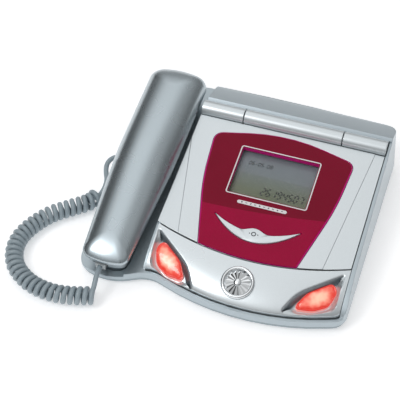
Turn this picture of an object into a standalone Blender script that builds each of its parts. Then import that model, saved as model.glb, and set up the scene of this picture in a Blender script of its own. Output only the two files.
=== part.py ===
"""Desk telephone shaped like the front of a car: wedge base, lift-off handset, flip-up bonnet.

The telephone stands on Z = 0 and faces -Y, with its handset along its left side (-X).
The bonnet, the keypad and the handset cradle all lie in planes that rise towards the rear by
one angle, so those pieces are modelled flat and hang from two tilted empties.
"""

import math

import bmesh
import bpy
from mathutils import Matrix, Vector, geometry

MM = 0.001
TILT = math.radians(7.6)
GAP = 0.3 * MM
RUNNING_GAP = 0.5 * MM
MOST_OF_SIDE = 0.98

# Base
BASE_LEFT = -103 * MM
BASE_RIGHT = 103 * MM
REAR_BOW = 6 * MM
REAR_BOW_RADIUS = 1500 * MM
BASE_FRONT_LEFT = -91 * MM
FASCIA_FRONT = -100 * MM
FASCIA_FRONT_RADIUS = 185 * MM
FASCIA_FRONT_SLOPE = math.radians(20.6)
FASCIA_X = 27 * MM
NOTCH_FROM_FASCIA = 74.5 * MM
DRAFT = 3.2 * MM
DRAFT_HEIGHT = 45 * MM
WALL = 2.4 * MM
FOOT_HEIGHT = 2.3 * MM
FOOT_RADIUS = 6 * MM
FLOOR_THICKNESS = 1.6 * MM
SHADOW_STEP = 1.6 * MM
TOP_CASE_BOTTOM = 6.8 * MM
RIM_TOP = 12.4 * MM

# Bonnet, hinge and console
BONNET_X = 22.5 * MM
BONNET_Y = -49.5 * MM
BONNET_Z = 30.8 * MM
BONNET_WIDTH = 150 * MM
BONNET_LENGTH = 106 * MM
BONNET_THICKNESS = 3.2 * MM
BONNET_BOW = 14 * MM
CREASE_STEP = 0.4 * MM
SIDE_GAP = 0.5 * MM
SEAM_GAP = 1.4 * MM
BARREL_RADIUS = 6.5 * MM
BARREL_AT = BONNET_LENGTH + RUNNING_GAP + BARREL_RADIUS
REAR_BLOCK_DEPTH = 27.193 * MM
REAR_BLOCK_FRONT = BONNET_Y + BARREL_AT * math.cos(TILT) + BARREL_RADIUS + GAP
BASE_REAR = REAR_BLOCK_FRONT + REAR_BLOCK_DEPTH
BARREL_SPLIT = 80.2 * MM
PIN_RADIUS = 1.5 * MM
PIN_CLEARANCE = 0.2 * MM
REAR_BLOCK_FRONT_Z = 50 * MM
REAR_BLOCK_REAR_Z = 39 * MM
CONSOLE_SKIN = 0.8 * MM

# Crimson panel, display and crescent key, measured from the bonnet's centre line
PANEL_X = -1.8 * MM
PANEL_PROUD = 0.8 * MM
PANEL_SEAT = 1.5 * MM
PANEL_BEVEL = 1.2 * MM
PANEL_FRONT_HALF = 38 * MM
PANEL_REAR_HALF = 56.5 * MM
PANEL_REAR = 92 * MM
PANEL_TOP_BOW = 10 * MM
WINDOW_WIDTH = 61.4 * MM
WINDOW_LENGTH = 43.4 * MM
WINDOW_FRONT = 40.4 * MM
BEZEL_WALL = 1.6 * MM
PANE_THICKNESS = 0.8 * MM
DISPLAY_DROP = 5.2 * MM
DISPLAY_THICKNESS = 3.4 * MM
CRESCENT_HALF = 33 * MM
CRESCENT_TIP = 17.6 * MM
CRESCENT_FRONT = 0.6 * MM
CRESCENT_BACK = 8.6 * MM
CRESCENT_BUMP = 4.4 * MM
CRESCENT_CLEARANCE = 0.5 * MM
STRIP_LENGTH = 39 * MM
STRIP_WIDTH = 3 * MM
STRIP_AT = 33.2 * MM

# Keypad
KEY_TOP = -7.0 * MM
DECK_TOP = -9.0 * MM
DECK_THICKNESS = 2.0 * MM
KEY_WIDTH = 13 * MM
KEY_LENGTH = 8 * MM
KEY_PITCH_X = 17 * MM
KEY_PITCH_Y = 10.5 * MM
KEY_TRAVEL = 1.2 * MM
KEY_FLANGE = 0.9 * MM
MAT_THICKNESS = 1.1 * MM
BOARD_THICKNESS = 1.6 * MM
FRONT_ROW_AT = 2.0 * MM

# Fascia, headlights and medallion
FASCIA_THICKNESS = 2.4 * MM
FASCIA_ROUND = 0.55
POCKET_DEPTH = 5 * MM
POCKET_MARGIN = 1.2 * MM
LENS_PROUD = 2.2 * MM
LAMP_CASE_DEPTH = 2.0 * MM
MEDALLION_RADIUS = 12.6 * MM
MEDALLION_AT = 0.36
MEDALLION_THICKNESS = 3.4 * MM

# Handset and cradle, measured along the tilted cradle plane
HANDSET_X = -78.5 * MM
CRADLE_Y = -95 * MM
CRADLE_Z = 9.5 * MM
HANDSET_START = -1 * MM
HANDSET_LENGTH = 187 * MM
HANDSET_FRONT_HALF = 18 * MM
HANDSET_REAR_HALF = 24 * MM
HANDSET_WALL = 2.0 * MM
PARTING = 18.5 * MM
GRIP_BOTTOM = 9 * MM
CROWN_FRONT = 7.5 * MM
CROWN_REAR = 13 * MM
CROWN_HUMP = 9 * MM
CROWN_INSET = 14 * MM
LOWER_STEP = 1.3 * MM
CUP_BOTTOM = -1.5 * MM
CUP_CLEARANCE = 1.2 * MM
MOUTH_CUP = (6 * MM, 44 * MM, 13.5 * MM)
EAR_CUP = (138 * MM, 178 * MM, 17 * MM)
WELL_FLOOR_THICKNESS = 1.5 * MM
PLUNGER_WIDTH = 8 * MM
PLUNGER_LENGTH = 5 * MM
PLUNGER_AT = 158 * MM

# Cord
CORD_DIAMETER = 4 * MM
COIL_DIAMETER = 14.6 * MM
PLUG_WIDTH = 7.6 * MM
PLUG_HEIGHT = 6 * MM
PLUG_LENGTH = 11 * MM
JACK_WALL = 1.4 * MM
JACK_DEPTH = 14 * MM
HANDSET_JACK_X = -3.5 * MM
HANDSET_JACK_HEIGHT = 9.5 * MM
BASE_JACK_Y = 19 * MM
BASE_JACK_Z = 12.5 * MM
COIL_ROUTE = [
    (-76.6, -113.8), (-95.3, -119.9), (-111.5, -122.0), (-126.4, -119.7), (-138.5, -113.8),
    (-148.0, -105.0), (-153.6, -93.0), (-154.6, -80.0), (-150.2, -65.6), (-141.0, -51.0),
    (-127.8, -39.0), (-117.0, -29.0), (-111.8, -16.0),
]
HANDSET_TAIL_ROUTE = [
    (-82.0, -96.4, 18.9), (-82.0, -99.6, 18.5), (-81.8, -104.0, 17.6), (-81.4, -107.8, 16.3),
    (-81.1, -110.6, 15.0),
]
BASE_TAIL_ROUTE = [
    (-111.66, -15.66, 7.7), (-110.5, -12.7, 7.7), (-110.9, -8.5, 8.2), (-113.0, -2.5, 9.3),
    (-115.8, 3.5, 10.7), (-117.0, 9.0, 11.8), (-116.2, 14.0, 12.3), (-113.6, 17.6, 12.5),
    (-110.6, 18.9, 12.5), (-107.35, 19.0, 12.5),
]

# Batteries and sockets
CELL_RADIUS = 5.25 * MM
CELL_LENGTH = 44.5 * MM
CELL_COUNT = 3
BAY_X = 45 * MM
BAY_Y = 22 * MM
BAY_CLEARANCE = 0.8 * MM
BAY_ROOF = 1.4 * MM
DOOR_THICKNESS = 1.4 * MM
DOOR_LAP = 1.5 * MM
LINE_JACK_X = -20 * MM
LINE_JACK_WIDTH = 10 * MM
LINE_JACK_HEIGHT = 7 * MM
LINE_JACK_Z = 14 * MM


def clear_scene():
    for thing in list(bpy.data.objects):
        bpy.data.objects.remove(thing, do_unlink=True)


def finish(name, color, roughness, metallic=0.0, alpha=1.0):
    material = bpy.data.materials.new(name)
    material.use_nodes = True
    shader = material.node_tree.nodes["Principled BSDF"]
    shader.inputs["Base Color"].default_value = (*color, 1.0)
    shader.inputs["Roughness"].default_value = roughness
    shader.inputs["Metallic"].default_value = metallic
    shader.inputs["Alpha"].default_value = alpha
    return material


def empty(name, location, tilt):
    frame = bpy.data.objects.new(name, None)
    frame.location = location
    frame.rotation_euler = (tilt, 0, 0)
    bpy.context.collection.objects.link(frame)
    return frame


def wrap(name, mesh, material, parent=None, smooth=None):
    """An object that holds the finished bmesh."""
    bmesh.ops.recalc_face_normals(mesh, faces=mesh.faces)
    data = bpy.data.meshes.new(name)
    mesh.to_mesh(data)
    mesh.free()
    if smooth is not None:
        data.shade_smooth()
        data.set_sharp_from_angle(angle=smooth)
    thing = bpy.data.objects.new(name, data)
    bpy.context.collection.objects.link(thing)
    thing.parent = parent
    if material:
        data.materials.append(material)
    return thing


def helper(thing):
    thing.hide_render = True
    thing.display_type = "WIRE"
    return thing


def boolean(target, operation, *tools):
    for tool in tools:
        modifier = target.modifiers.new(tool.name, "BOOLEAN")
        modifier.operation = operation
        modifier.solver = "EXACT"
        modifier.object = helper(tool)
    return target


def cut(target, *tools):
    return boolean(target, "DIFFERENCE", *tools)


def join(target, *tools):
    return boolean(target, "UNION", *tools)


def keep(target, *tools):
    return boolean(target, "INTERSECT", *tools)


def inset_corners(corners, inset):
    """A polygon's corners moved inwards, each with its radius and the turn that its path makes."""
    points = [Vector(corner[:2]) for corner in corners]
    area = sum(a.cross(b) for a, b in zip(points, points[1:] + points[:1]))
    side = math.copysign(1, area)
    moved = []
    for index, here in enumerate(points):
        into = (here - points[index - 1]).normalized()
        out = (points[(index + 1) % len(points)] - here).normalized()
        turn = math.atan2(into.cross(out), into.dot(out))
        inward = Vector((-into.y, into.x)) * side
        place = here + inward * inset - into * (inset * side * math.tan(turn / 2))
        radius = corners[index][2]
        if radius:
            radius = max(radius - math.copysign(inset, turn * side), 0.2 * MM)
        moved.append((place, radius, turn))
    return moved


def rounded(corners, inset=0.0, steps=5):
    """The outline of a polygon with rounded corners (x, y, radius), moved inwards by inset."""
    moved = inset_corners(corners, inset)
    sides = [(here[0] - moved[index - 1][0]).length for index, here in enumerate(moved)]
    reach = [(radius or 0.0) * math.tan(abs(turn) / 2) for _, radius, turn in moved]
    outline = []
    for index, (here, radius, turn) in enumerate(moved):
        if not radius:
            outline.append(here)
            continue
        after = (index + 1) % len(moved)
        share = min(1, MOST_OF_SIDE * sides[index] / (reach[index] + reach[index - 1]),
                    MOST_OF_SIDE * sides[after] / (reach[index] + reach[after]))
        into = (here - moved[index - 1][0]).normalized()
        across = Vector((-into.y, into.x)) * math.copysign(radius * share, turn)
        start = here - into * (reach[index] * share)
        for step in range(steps + 1):
            spin = Matrix.Rotation(turn * step / steps, 2)
            outline.append(start + across - spin @ across)
    return outline


def loft(name, rings, material=None, parent=None, smooth=None):
    """A closed solid through rings of points that all have the same count."""
    mesh = bmesh.new()
    loops = []
    for ring in rings:
        corners = [mesh.verts.new(point) for point in ring]
        loops.append([mesh.edges.new(pair) for pair in zip(corners, corners[1:] + corners[:1])])
    for lower, upper in zip(loops, loops[1:]):
        bmesh.ops.bridge_loops(mesh, edges=lower + upper)
    bmesh.ops.holes_fill(mesh, edges=loops[0] + loops[-1], sides=0)
    return wrap(name, mesh, material, parent, smooth)


def slab(name, outline, low, high, material=None, parent=None, smooth=None):
    """An outline in the XY plane, thickened from low to high."""
    rings = [[(point[0], point[1], height) for point in outline] for height in (low, high)]
    return loft(name, rings, material, parent, smooth)


def side_slab(name, profile, left, right):
    """A helper solid: a profile in the YZ plane, thickened from left to right."""
    return loft(name, [[(x, point[0], point[1]) for point in profile] for x in (left, right)])


def rectangle(x, y, width, length, radius=0.0):
    half_x, half_y = width / 2, length / 2
    corners = [(x - half_x, y - half_y), (x + half_x, y - half_y), (x + half_x, y + half_y),
               (x - half_x, y + half_y)]
    return rounded([(*corner, radius) for corner in corners], steps=3)


def block(name, low, high, material=None, parent=None):
    center = [(a + b) / 2 for a, b in zip(low, high)]
    outline = rectangle(center[0], center[1], high[0] - low[0], high[1] - low[1])
    return slab(name, outline, low[2], high[2], material, parent)


def cylinder(name, radius, length, place, axis, material=None, parent=None, sides=24):
    """A round bar centred on place."""
    mesh = bmesh.new()
    bmesh.ops.create_cone(
        mesh, cap_ends=True, segments=sides, radius1=radius, radius2=radius, depth=length)
    turn = Vector((0, 0, 1)).rotation_difference(Vector(axis)).to_matrix().to_4x4()
    bmesh.ops.transform(mesh, matrix=Matrix.Translation(place) @ turn, verts=mesh.verts)
    return wrap(name, mesh, material, parent, math.radians(40))


# Outlines and surfaces that several pieces share


def base_outline(inset=0.0):
    tip = FASCIA_FRONT - FASCIA_FRONT_RADIUS * (1 / math.cos(FASCIA_FRONT_SLOPE) - 1)
    rise = math.tan(FASCIA_FRONT_SLOPE)
    notch_x = FASCIA_X - NOTCH_FROM_FASCIA
    middle = (BASE_LEFT + BASE_RIGHT) / 2
    corners = [
        (BASE_LEFT, BASE_FRONT_LEFT, 14 * MM),
        (BASE_LEFT + 27 * MM, BASE_FRONT_LEFT - 8.5 * MM, 40 * MM),
        (notch_x, tip + rise * NOTCH_FROM_FASCIA, 22 * MM),
        (FASCIA_X, tip, FASCIA_FRONT_RADIUS),
        (BASE_RIGHT, tip + rise * (BASE_RIGHT - FASCIA_X), 12 * MM),
        (BASE_RIGHT, BASE_REAR, 14 * MM),
        (middle, BASE_REAR + REAR_BOW, REAR_BOW_RADIUS),
        (BASE_LEFT, BASE_REAR, 14 * MM),
    ]
    return rounded(corners, inset, steps=9)


def base_body(name, inset):
    """The wedge base's outer walls, leaning in by the draft, as a tall solid."""
    levels = [
        (TOP_CASE_BOTTOM, inset),
        (TOP_CASE_BOTTOM + DRAFT_HEIGHT, inset + DRAFT),
    ]
    return loft(name, [[(*point, z) for point in base_outline(step)] for z, step in levels])


def bonnet_plane(y):
    return BONNET_Z + (y - BONNET_Y) * math.tan(TILT)


def cradle_plane(y):
    return CRADLE_Z + (y - CRADLE_Y) * math.tan(TILT)


def barrel_center():
    return (
        BONNET_Y + BARREL_AT * math.cos(TILT),
        BONNET_Z + BARREL_AT * math.sin(TILT),
    )


def seam_bow(x):
    """How far the bonnet's front edge stands forward of its corners at x from its centre."""
    return BONNET_BOW * (1 - (x / (BONNET_WIDTH / 2)) ** 2)


def front_bow(x):
    """The Y of the fascia's front wall at world x, level again where it meets the cradle."""
    offset = max(x - FASCIA_X, 8.5 * MM - NOTCH_FROM_FASCIA)
    return FASCIA_FRONT + FASCIA_FRONT_RADIUS - math.sqrt(FASCIA_FRONT_RADIUS**2 - offset**2)


def fascia_point(x, t):
    """A point of the fascia's surface at world x, from its top edge (t = 0) to its lip (t = 1)."""
    top_y = BONNET_Y - seam_bow(x - BONNET_X) - SEAM_GAP
    top_z = bonnet_plane(top_y)
    lip_y = front_bow(x) + WALL + GAP
    along = math.sin(t * math.pi / 2)
    curve = FASCIA_ROUND * (1 - math.cos(t * math.pi / 2)) + (1 - FASCIA_ROUND) * along
    return Vector((x, top_y + (lip_y - top_y) * along, top_z + (RIM_TOP - top_z) * curve))


def console_left():
    return BONNET_X - BONNET_WIDTH / 2 - CONSOLE_SKIN


def console_right():
    return BONNET_X + BONNET_WIDTH / 2 + SIDE_GAP


# Base


def console_profile(drop, left_side):
    """The YZ profile under which a console side wall stays."""
    x = console_left() if left_side else BASE_RIGHT - WALL
    front = [fascia_point(max(min(x, BASE_RIGHT - WALL), console_left()), t / 6) for t in range(7)]
    curve = [(point.y, point.z - drop) for point in reversed(front)]
    rear = REAR_BLOCK_FRONT
    top = [(BONNET_Y, BONNET_Z - drop), (rear, bonnet_plane(rear) - drop)]
    return [(-0.12, 0), (-0.12, RIM_TOP - drop), *curve, *top, (rear, 0)]


def top_case_limits():
    rear = REAR_BLOCK_FRONT
    past = 0.13
    cradle = side_slab(
        "cradle_limit",
        [(-past, 0), (-past, cradle_plane(-past)), (past, cradle_plane(past)), (past, 0)],
        -past, console_left() + WALL)
    rim = side_slab(
        "rim_limit", [(-past, 0), (-past, RIM_TOP), (0, RIM_TOP), (0, 0)], -past / 2, past)
    left_wall = side_slab(
        "left_wall_limit", console_profile(BONNET_THICKNESS + GAP, True),
        console_left(), console_left() + WALL)
    right_wall = side_slab("right_wall_limit", console_profile(0, False), console_right(), past)
    rear_block = side_slab(
        "rear_block_limit",
        [(rear, 0), (rear, REAR_BLOCK_FRONT_Z - 2 * MM), (rear + 2 * MM, REAR_BLOCK_FRONT_Z),
         (BASE_REAR - 5 * MM, REAR_BLOCK_REAR_Z + 3 * MM), (BASE_REAR, REAR_BLOCK_REAR_Z),
         (past, REAR_BLOCK_REAR_Z - 4 * MM), (past, 0)],
        console_left() + 2 * MM, past)
    return cradle, rim, left_wall, right_wall, rear_block


def top_case_hollows():
    rear = REAR_BLOCK_FRONT
    past = 0.13
    low = 0.0
    under_cradle = side_slab(
        "cradle_hollow",
        [(-past, low), (-past, cradle_plane(-past) - WALL), (past, cradle_plane(past) - WALL),
         (past, low)],
        -past, console_left())
    under_bonnet = side_slab(
        "console_hollow", [(-past, low), (-past, 0.1), (rear, 0.1), (rear, low)],
        console_left() + WALL, console_right())
    under_block = side_slab(
        "rear_block_hollow",
        [(rear + WALL, low), (rear + WALL, REAR_BLOCK_FRONT_Z - WALL - 1 * MM),
         (BASE_REAR - 5 * MM, REAR_BLOCK_REAR_Z - 1 * MM), (past, REAR_BLOCK_REAR_Z - 5 * MM),
         (past, low)],
        console_left() + 2 * MM + WALL, past)
    return [keep(hollow, base_body("inside_of_" + hollow.name, WALL))
            for hollow in (under_cradle, under_bonnet, under_block)]


def cup_outline(cup, grow=0.0):
    start, end, half = cup
    return rectangle(0, (start + end) / 2, 2 * (half + grow), end - start + 2 * grow, 9 * MM + grow)


def make_top_case(material, cradle):
    case = helper(base_body("top_case_walls", 0))
    limits = top_case_limits()
    shape = join(limits[0], *limits[1:])
    top_case = keep(wrap_copy("top_case", case, material), shape)
    cut(top_case, *top_case_hollows())
    for label, cup in (("mouth", MOUTH_CUP), ("ear", EAR_CUP)):
        floor = CUP_BOTTOM - CUP_CLEARANCE / 2
        body = slab(label + "_well_body", cup_outline(cup, CUP_CLEARANCE + WELL_FLOOR_THICKNESS),
                    floor - WELL_FLOOR_THICKNESS, -WALL / 2, parent=cradle)
        well = slab(label + "_well", cup_outline(cup, CUP_CLEARANCE), floor, 20 * MM, parent=cradle)
        join(top_case, body)
        cut(top_case, well)
    cut(top_case, plunger_shape("plunger_hole", cradle, CUP_CLEARANCE / 4, 0))
    cut(top_case, line_jack_body("line_jack_hole", GAP), base_jack_body("cord_jack_hole", GAP))
    length = BONNET_WIDTH + SIDE_GAP + 2 * CONSOLE_SKIN
    cut(top_case, cylinder("barrel_relief", BARREL_RADIUS + GAP, length,
                           (BONNET_X - CONSOLE_SKIN / 2, *barrel_center()), (1, 0, 0), sides=28))
    return top_case


def wrap_copy(name, source, material):
    """A visible object of its own that starts from a helper's mesh."""
    thing = bpy.data.objects.new(name, source.data.copy())
    bpy.context.collection.objects.link(thing)
    thing.data.materials.append(material)
    return thing


def make_bottom_case(material):
    floor_z = FOOT_HEIGHT + GAP
    case = slab("bottom_case", base_outline(SHADOW_STEP), floor_z, TOP_CASE_BOTTOM - GAP, material)
    hollow = slab("bottom_case_hollow", base_outline(SHADOW_STEP + WALL),
                  floor_z + FLOOR_THICKNESS, TOP_CASE_BOTTOM + MM)
    cut(case, hollow)
    width, length, top = bay_size()
    shell = block("bay_shell",
                  (BAY_X - width / 2 - BAY_ROOF, BAY_Y - length / 2 - BAY_ROOF, floor_z),
                  (BAY_X + width / 2 + BAY_ROOF, BAY_Y + length / 2 + BAY_ROOF, top + BAY_ROOF))
    bay = block("bay", (BAY_X - width / 2, BAY_Y - length / 2, 0),
                (BAY_X + width / 2, BAY_Y + length / 2, top))
    join(case, shell)
    return cut(case, bay)


def bay_size():
    """Width, length and roof height of the battery bay."""
    pitch = 2 * CELL_RADIUS + BAY_CLEARANCE
    width = CELL_COUNT * pitch + BAY_CLEARANCE
    door_top = FOOT_HEIGHT + GAP + FLOOR_THICKNESS
    return width, CELL_LENGTH + 3 * BAY_CLEARANCE, door_top + 2 * CELL_RADIUS + 2 * BAY_CLEARANCE


def make_batteries(material):
    pitch = 2 * CELL_RADIUS + BAY_CLEARANCE
    height = FOOT_HEIGHT + GAP + FLOOR_THICKNESS + CELL_RADIUS + BAY_CLEARANCE
    for number in range(CELL_COUNT):
        x = BAY_X + (number - (CELL_COUNT - 1) / 2) * pitch
        cylinder(f"battery_{number + 1}", CELL_RADIUS, CELL_LENGTH, (x, BAY_Y, height), (0, 1, 0),
                 material, sides=14)


def make_battery_door(material):
    """A flat door that slides along the underside of the floor, over the bay's opening."""
    width, length, _ = bay_size()
    high = FOOT_HEIGHT
    low = high - DOOR_THICKNESS
    block("battery_door", (BAY_X - width / 2 - DOOR_LAP, BAY_Y - length / 2 - DOOR_LAP, low),
          (BAY_X + width / 2 + DOOR_LAP, BAY_Y + length / 2 + DOOR_LAP, high), material)


def foot_places():
    inset = 16 * MM
    return {
        "foot_front_left": (BASE_LEFT + inset + 6 * MM, BASE_FRONT_LEFT + inset),
        "foot_front_middle": (BONNET_X, FASCIA_FRONT + 10 * MM),
        "foot_front_right": (BASE_RIGHT - inset, FASCIA_FRONT + inset + 14 * MM),
        "foot_rear_left": (BASE_LEFT + inset, BASE_REAR - inset),
        "foot_rear_right": (BASE_RIGHT - inset, BASE_REAR - inset),
    }


def make_feet(material):
    for name, (x, y) in foot_places().items():
        cylinder(name, FOOT_RADIUS, FOOT_HEIGHT, (x, y, FOOT_HEIGHT / 2), (0, 0, 1), material,
                 sides=20)


# Fascia and headlights


def fascia_sheet(name, top, bottom, left, right, columns=16, rows=7):
    """The fascia's curved surface, thickened between two depths below it."""
    mesh = bmesh.new()
    bmesh.ops.create_grid(mesh, x_segments=columns, y_segments=rows, size=1)
    for vert in mesh.verts:
        x = left + (right - left) * (vert.co.x + 1) / 2
        vert.co = fascia_point(x, (1 - vert.co.y) / 2) - Vector((0, 0, top))
    extruded = bmesh.ops.extrude_face_region(mesh, geom=mesh.faces[:])
    moved = [item for item in extruded["geom"] if isinstance(item, bmesh.types.BMVert)]
    bmesh.ops.translate(mesh, vec=(0, 0, top - bottom), verts=moved)
    return wrap(name, mesh, None)


def fascia_span():
    return console_left() + WALL + GAP, console_right() - GAP


def mirrored(side, corners):
    """Corners measured from the bonnet's centre line, on its left (-1) or right (1) side."""
    return [(BONNET_X + side * x, y, radius) for x, y, radius in corners]


def pocket_outline(side, grow=0.0):
    """A leaf-shaped headlight pocket whose front edge follows the fascia's lip."""
    lip = [front_bow(BONNET_X + side * x) + WALL + GAP + POCKET_MARGIN
           for x in (32 * MM, 52 * MM, 71.2 * MM)]
    corners = [
        (32 * MM, lip[0], 2 * MM),
        (41.5 * MM, BONNET_Y - 28 * MM, 34 * MM),
        (72.3 * MM, BONNET_Y - 4.5 * MM, 1.5 * MM),
        (71.2 * MM, lip[2] + 2 * MM, 6 * MM),
        (52 * MM, lip[1], 60 * MM),
    ]
    return rounded(mirrored(side, corners), -grow, steps=4)


def lens_outline(side, grow=0.0):
    corners = [
        (40.5 * MM, BONNET_Y - 38.7 * MM, 2.5 * MM),
        (48.5 * MM, BONNET_Y - 24.8 * MM, 20 * MM),
        (65.5 * MM, BONNET_Y - 12 * MM, 4 * MM),
        (70.3 * MM, BONNET_Y - 18 * MM, 7 * MM),
        (66.5 * MM, BONNET_Y - 29.5 * MM, 9 * MM),
        (56 * MM, BONNET_Y - 35.5 * MM, 16 * MM),
    ]
    return rounded(mirrored(side, corners), -grow, steps=4)


def layer(name, outline, top, bottom, material=None):
    """The part of the fascia's own layer between two depths that lies inside an outline."""
    left, right = fascia_span()
    body = slab(name, outline, 0, 60 * MM, material)
    sheet = fascia_sheet(name + "_layer", top, bottom, left, right)
    return keep(body, sheet)


def make_fascia(material):
    left, right = fascia_span()
    fascia = fascia_sheet("front_fascia_skin", 0, FASCIA_THICKNESS, left, right)
    result = wrap_copy("front_fascia", helper(fascia), material)
    for side, label in ((-1, "left"), (1, "right")):
        tub = layer(label + "_pocket_tub", pocket_outline(side, POCKET_MARGIN * 0.8), 0.2 * MM,
                    POCKET_DEPTH + FASCIA_THICKNESS / 2)
        hollow = layer(label + "_pocket_hollow", pocket_outline(side), -10 * MM, POCKET_DEPTH)
        hole = slab(label + "_lens_hole", lens_outline(side, GAP), 0, 60 * MM)
        join(result, tub)
        cut(result, hollow, hole)
    return keep(result, base_body("fascia_limit", WALL + GAP))


def make_headlights(lens_material, case_material):
    floor = POCKET_DEPTH
    case_top = floor + FASCIA_THICKNESS / 2 + GAP
    for side, label in ((-1, "left"), (1, "right")):
        layer(f"headlight_lens_{label}", lens_outline(side), floor - LENS_PROUD, case_top - 2 * GAP,
              lens_material)
        layer(f"headlight_case_{label}", lens_outline(side, 0.6 * MM), case_top,
              case_top + LAMP_CASE_DEPTH, case_material)


def make_medallion(material):
    here = fascia_point(BONNET_X + PANEL_X, MEDALLION_AT)
    ahead = fascia_point(BONNET_X + PANEL_X, MEDALLION_AT + 0.02)
    slope = math.atan2(here.z - ahead.z, here.y - ahead.y)
    normal = Vector((0, -math.sin(slope), math.cos(slope)))
    place = here + normal * (MEDALLION_THICKNESS / 2 - 0.9 * MM)
    cylinder("medallion", MEDALLION_RADIUS, MEDALLION_THICKNESS, place, normal, material)
    return cylinder("medallion_seat", MEDALLION_RADIUS + GAP, MEDALLION_THICKNESS + 2 * GAP,
                    place, normal)


# Bonnet


def bonnet_outline(inset=0.0, front_inset=0.0):
    """The bonnet's plan, with its bowed front edge, in the bonnet's own frame."""
    half = BONNET_WIDTH / 2 - inset
    steps = 16
    front = []
    for step in range(steps + 1):
        x = -half + 2 * half * step / steps
        front.append(Vector((x, -seam_bow(x) + front_inset)))
    return front + [Vector((half, BONNET_LENGTH - inset)), Vector((-half, BONNET_LENGTH - inset))]


def panel_outline(inset=0.0, front_inset=0.0):
    """The crimson panel's plan: wider at the rear, with a bowed rear edge."""
    corners = [
        (-PANEL_FRONT_HALF, -8 * MM, 0),
        (PANEL_FRONT_HALF, -8 * MM, 0),
        (PANEL_REAR_HALF - 4 * MM, 45 * MM, 220 * MM),
        (PANEL_REAR_HALF, PANEL_REAR, 8 * MM),
        (0, PANEL_REAR + PANEL_TOP_BOW * 1.35, 130 * MM),
        (-PANEL_REAR_HALF, PANEL_REAR, 8 * MM),
        (-PANEL_REAR_HALF + 4 * MM, 45 * MM, 220 * MM),
    ]
    placed = [(x + PANEL_X, y, radius) for x, y, radius in corners]
    outline = rounded(placed, inset, steps=5)
    left, right = outline[0], outline[1]
    steps = 10
    front = []
    for step in range(1, steps):
        x = left.x + (right.x - left.x) * step / steps
        front.append(Vector((x, -seam_bow(x) + front_inset)))
    left.y = -seam_bow(left.x) + front_inset
    right.y = -seam_bow(right.x) + front_inset
    return [left, *front, right, *outline[2:]]


def crescent_outline(grow=0.0):
    """A smile-shaped key: two arcs that meet in points, with a bump behind the middle."""
    half = CRESCENT_HALF + grow * 2
    steps = 14
    front, back = [], []
    for step in range(steps + 1):
        x = -half + 2 * half * step / steps
        share = (x / CRESCENT_HALF) ** 2
        bump = CRESCENT_BUMP * math.cos(x / (12 * MM) * math.pi / 2) ** 2 if abs(x) < 12 * MM else 0
        front.append(Vector((x + PANEL_X, CRESCENT_FRONT - grow
                             + (CRESCENT_TIP - CRESCENT_FRONT) * share)))
        back.append(Vector((x + PANEL_X, CRESCENT_BACK + grow
                            + (CRESCENT_TIP + 0.6 * MM - CRESCENT_BACK) * share + bump)))
    return front + back[::-1]


def window_rectangle(grow):
    return rectangle(PANEL_X, WINDOW_FRONT + WINDOW_LENGTH / 2, WINDOW_WIDTH + 2 * grow,
                     WINDOW_LENGTH + 2 * grow, 1 * MM)


def crease_cutters(deck):
    """Solids that lower the bonnet's two flanks by a step, outside lines that spread rearwards."""
    front, rear, past = -BONNET_BOW - 2 * MM, BONNET_LENGTH + MM, BONNET_WIDTH
    lines = {"left": (-55 * MM, -80 * MM, -past), "right": (53.8 * MM, 67.6 * MM, past)}
    return [slab("crease_" + name, [(near, front), (far, rear), (edge, rear), (edge, front)],
                 -CREASE_STEP, 5 * MM, parent=deck) for name, (near, far, edge) in lines.items()]


def make_bonnet(material, deck):
    bonnet = slab("bonnet", bonnet_outline(), -BONNET_THICKNESS, 0, material, deck)
    seat = slab("panel_seat", panel_outline(-GAP, -1 * MM), -PANEL_SEAT, MM, parent=deck)
    window = slab("window_hole", window_rectangle(BEZEL_WALL + GAP), -20 * MM, MM, parent=deck)
    slot = slab("crescent_slot", crescent_outline(CRESCENT_CLEARANCE), -20 * MM, MM, parent=deck)
    return cut(bonnet, seat, window, slot, *crease_cutters(deck))


def make_panel(material, deck):
    top = PANEL_PROUD
    levels = [(0, GAP - PANEL_SEAT), (0, top - PANEL_BEVEL / 2), (PANEL_BEVEL, top)]
    rings = [[(*point, height) for point in panel_outline(inset, 0)] for inset, height in levels]
    panel = loft("crimson_panel", rings, material, deck)
    tube = slab("window_tube", window_rectangle(BEZEL_WALL), -BONNET_THICKNESS, top - 0.2 * MM,
                parent=deck)
    hole = slab("window_opening", window_rectangle(0), -20 * MM, 5 * MM, parent=deck)
    slot = slab("crescent_opening", crescent_outline(CRESCENT_CLEARANCE), -20 * MM, 5 * MM, parent=deck)
    join(panel, tube)
    return cut(panel, hole, slot)


def make_window(material, deck):
    top = -BONNET_THICKNESS - GAP
    slab("display_window", window_rectangle(BEZEL_WALL), top - PANE_THICKNESS, top, material, deck)


def make_icon_strip(material, deck):
    outline = rectangle(PANEL_X - 1.1 * MM, STRIP_AT, STRIP_LENGTH, STRIP_WIDTH, STRIP_WIDTH * 0.45)
    low = PANEL_PROUD + GAP / 3
    slab("symbol_strip", outline, low, low + 0.4 * MM, material, deck)


def make_crescent(material, deck):
    key = slab("crescent_key", crescent_outline(), -BONNET_THICKNESS - MM, PANEL_PROUD + 0.8 * MM,
               material, deck)
    flange = slab("crescent_flange", crescent_outline(0.8 * MM), -BONNET_THICKNESS - 1.4 * MM,
                  -BONNET_THICKNESS - GAP, parent=deck)
    return join(key, flange)


def barrel_spans():
    left = BONNET_X - BONNET_WIDTH / 2
    right = BONNET_X + BONNET_WIDTH / 2
    first = BONNET_X - BARREL_SPLIT / 2
    second = BONNET_X + BARREL_SPLIT / 2
    half_gap = RUNNING_GAP / 2
    return {
        "hinge_barrel_left": (left, first - half_gap),
        "hinge_barrel_middle": (first + half_gap, second - half_gap),
        "hinge_barrel_right": (second + half_gap, right),
    }


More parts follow.
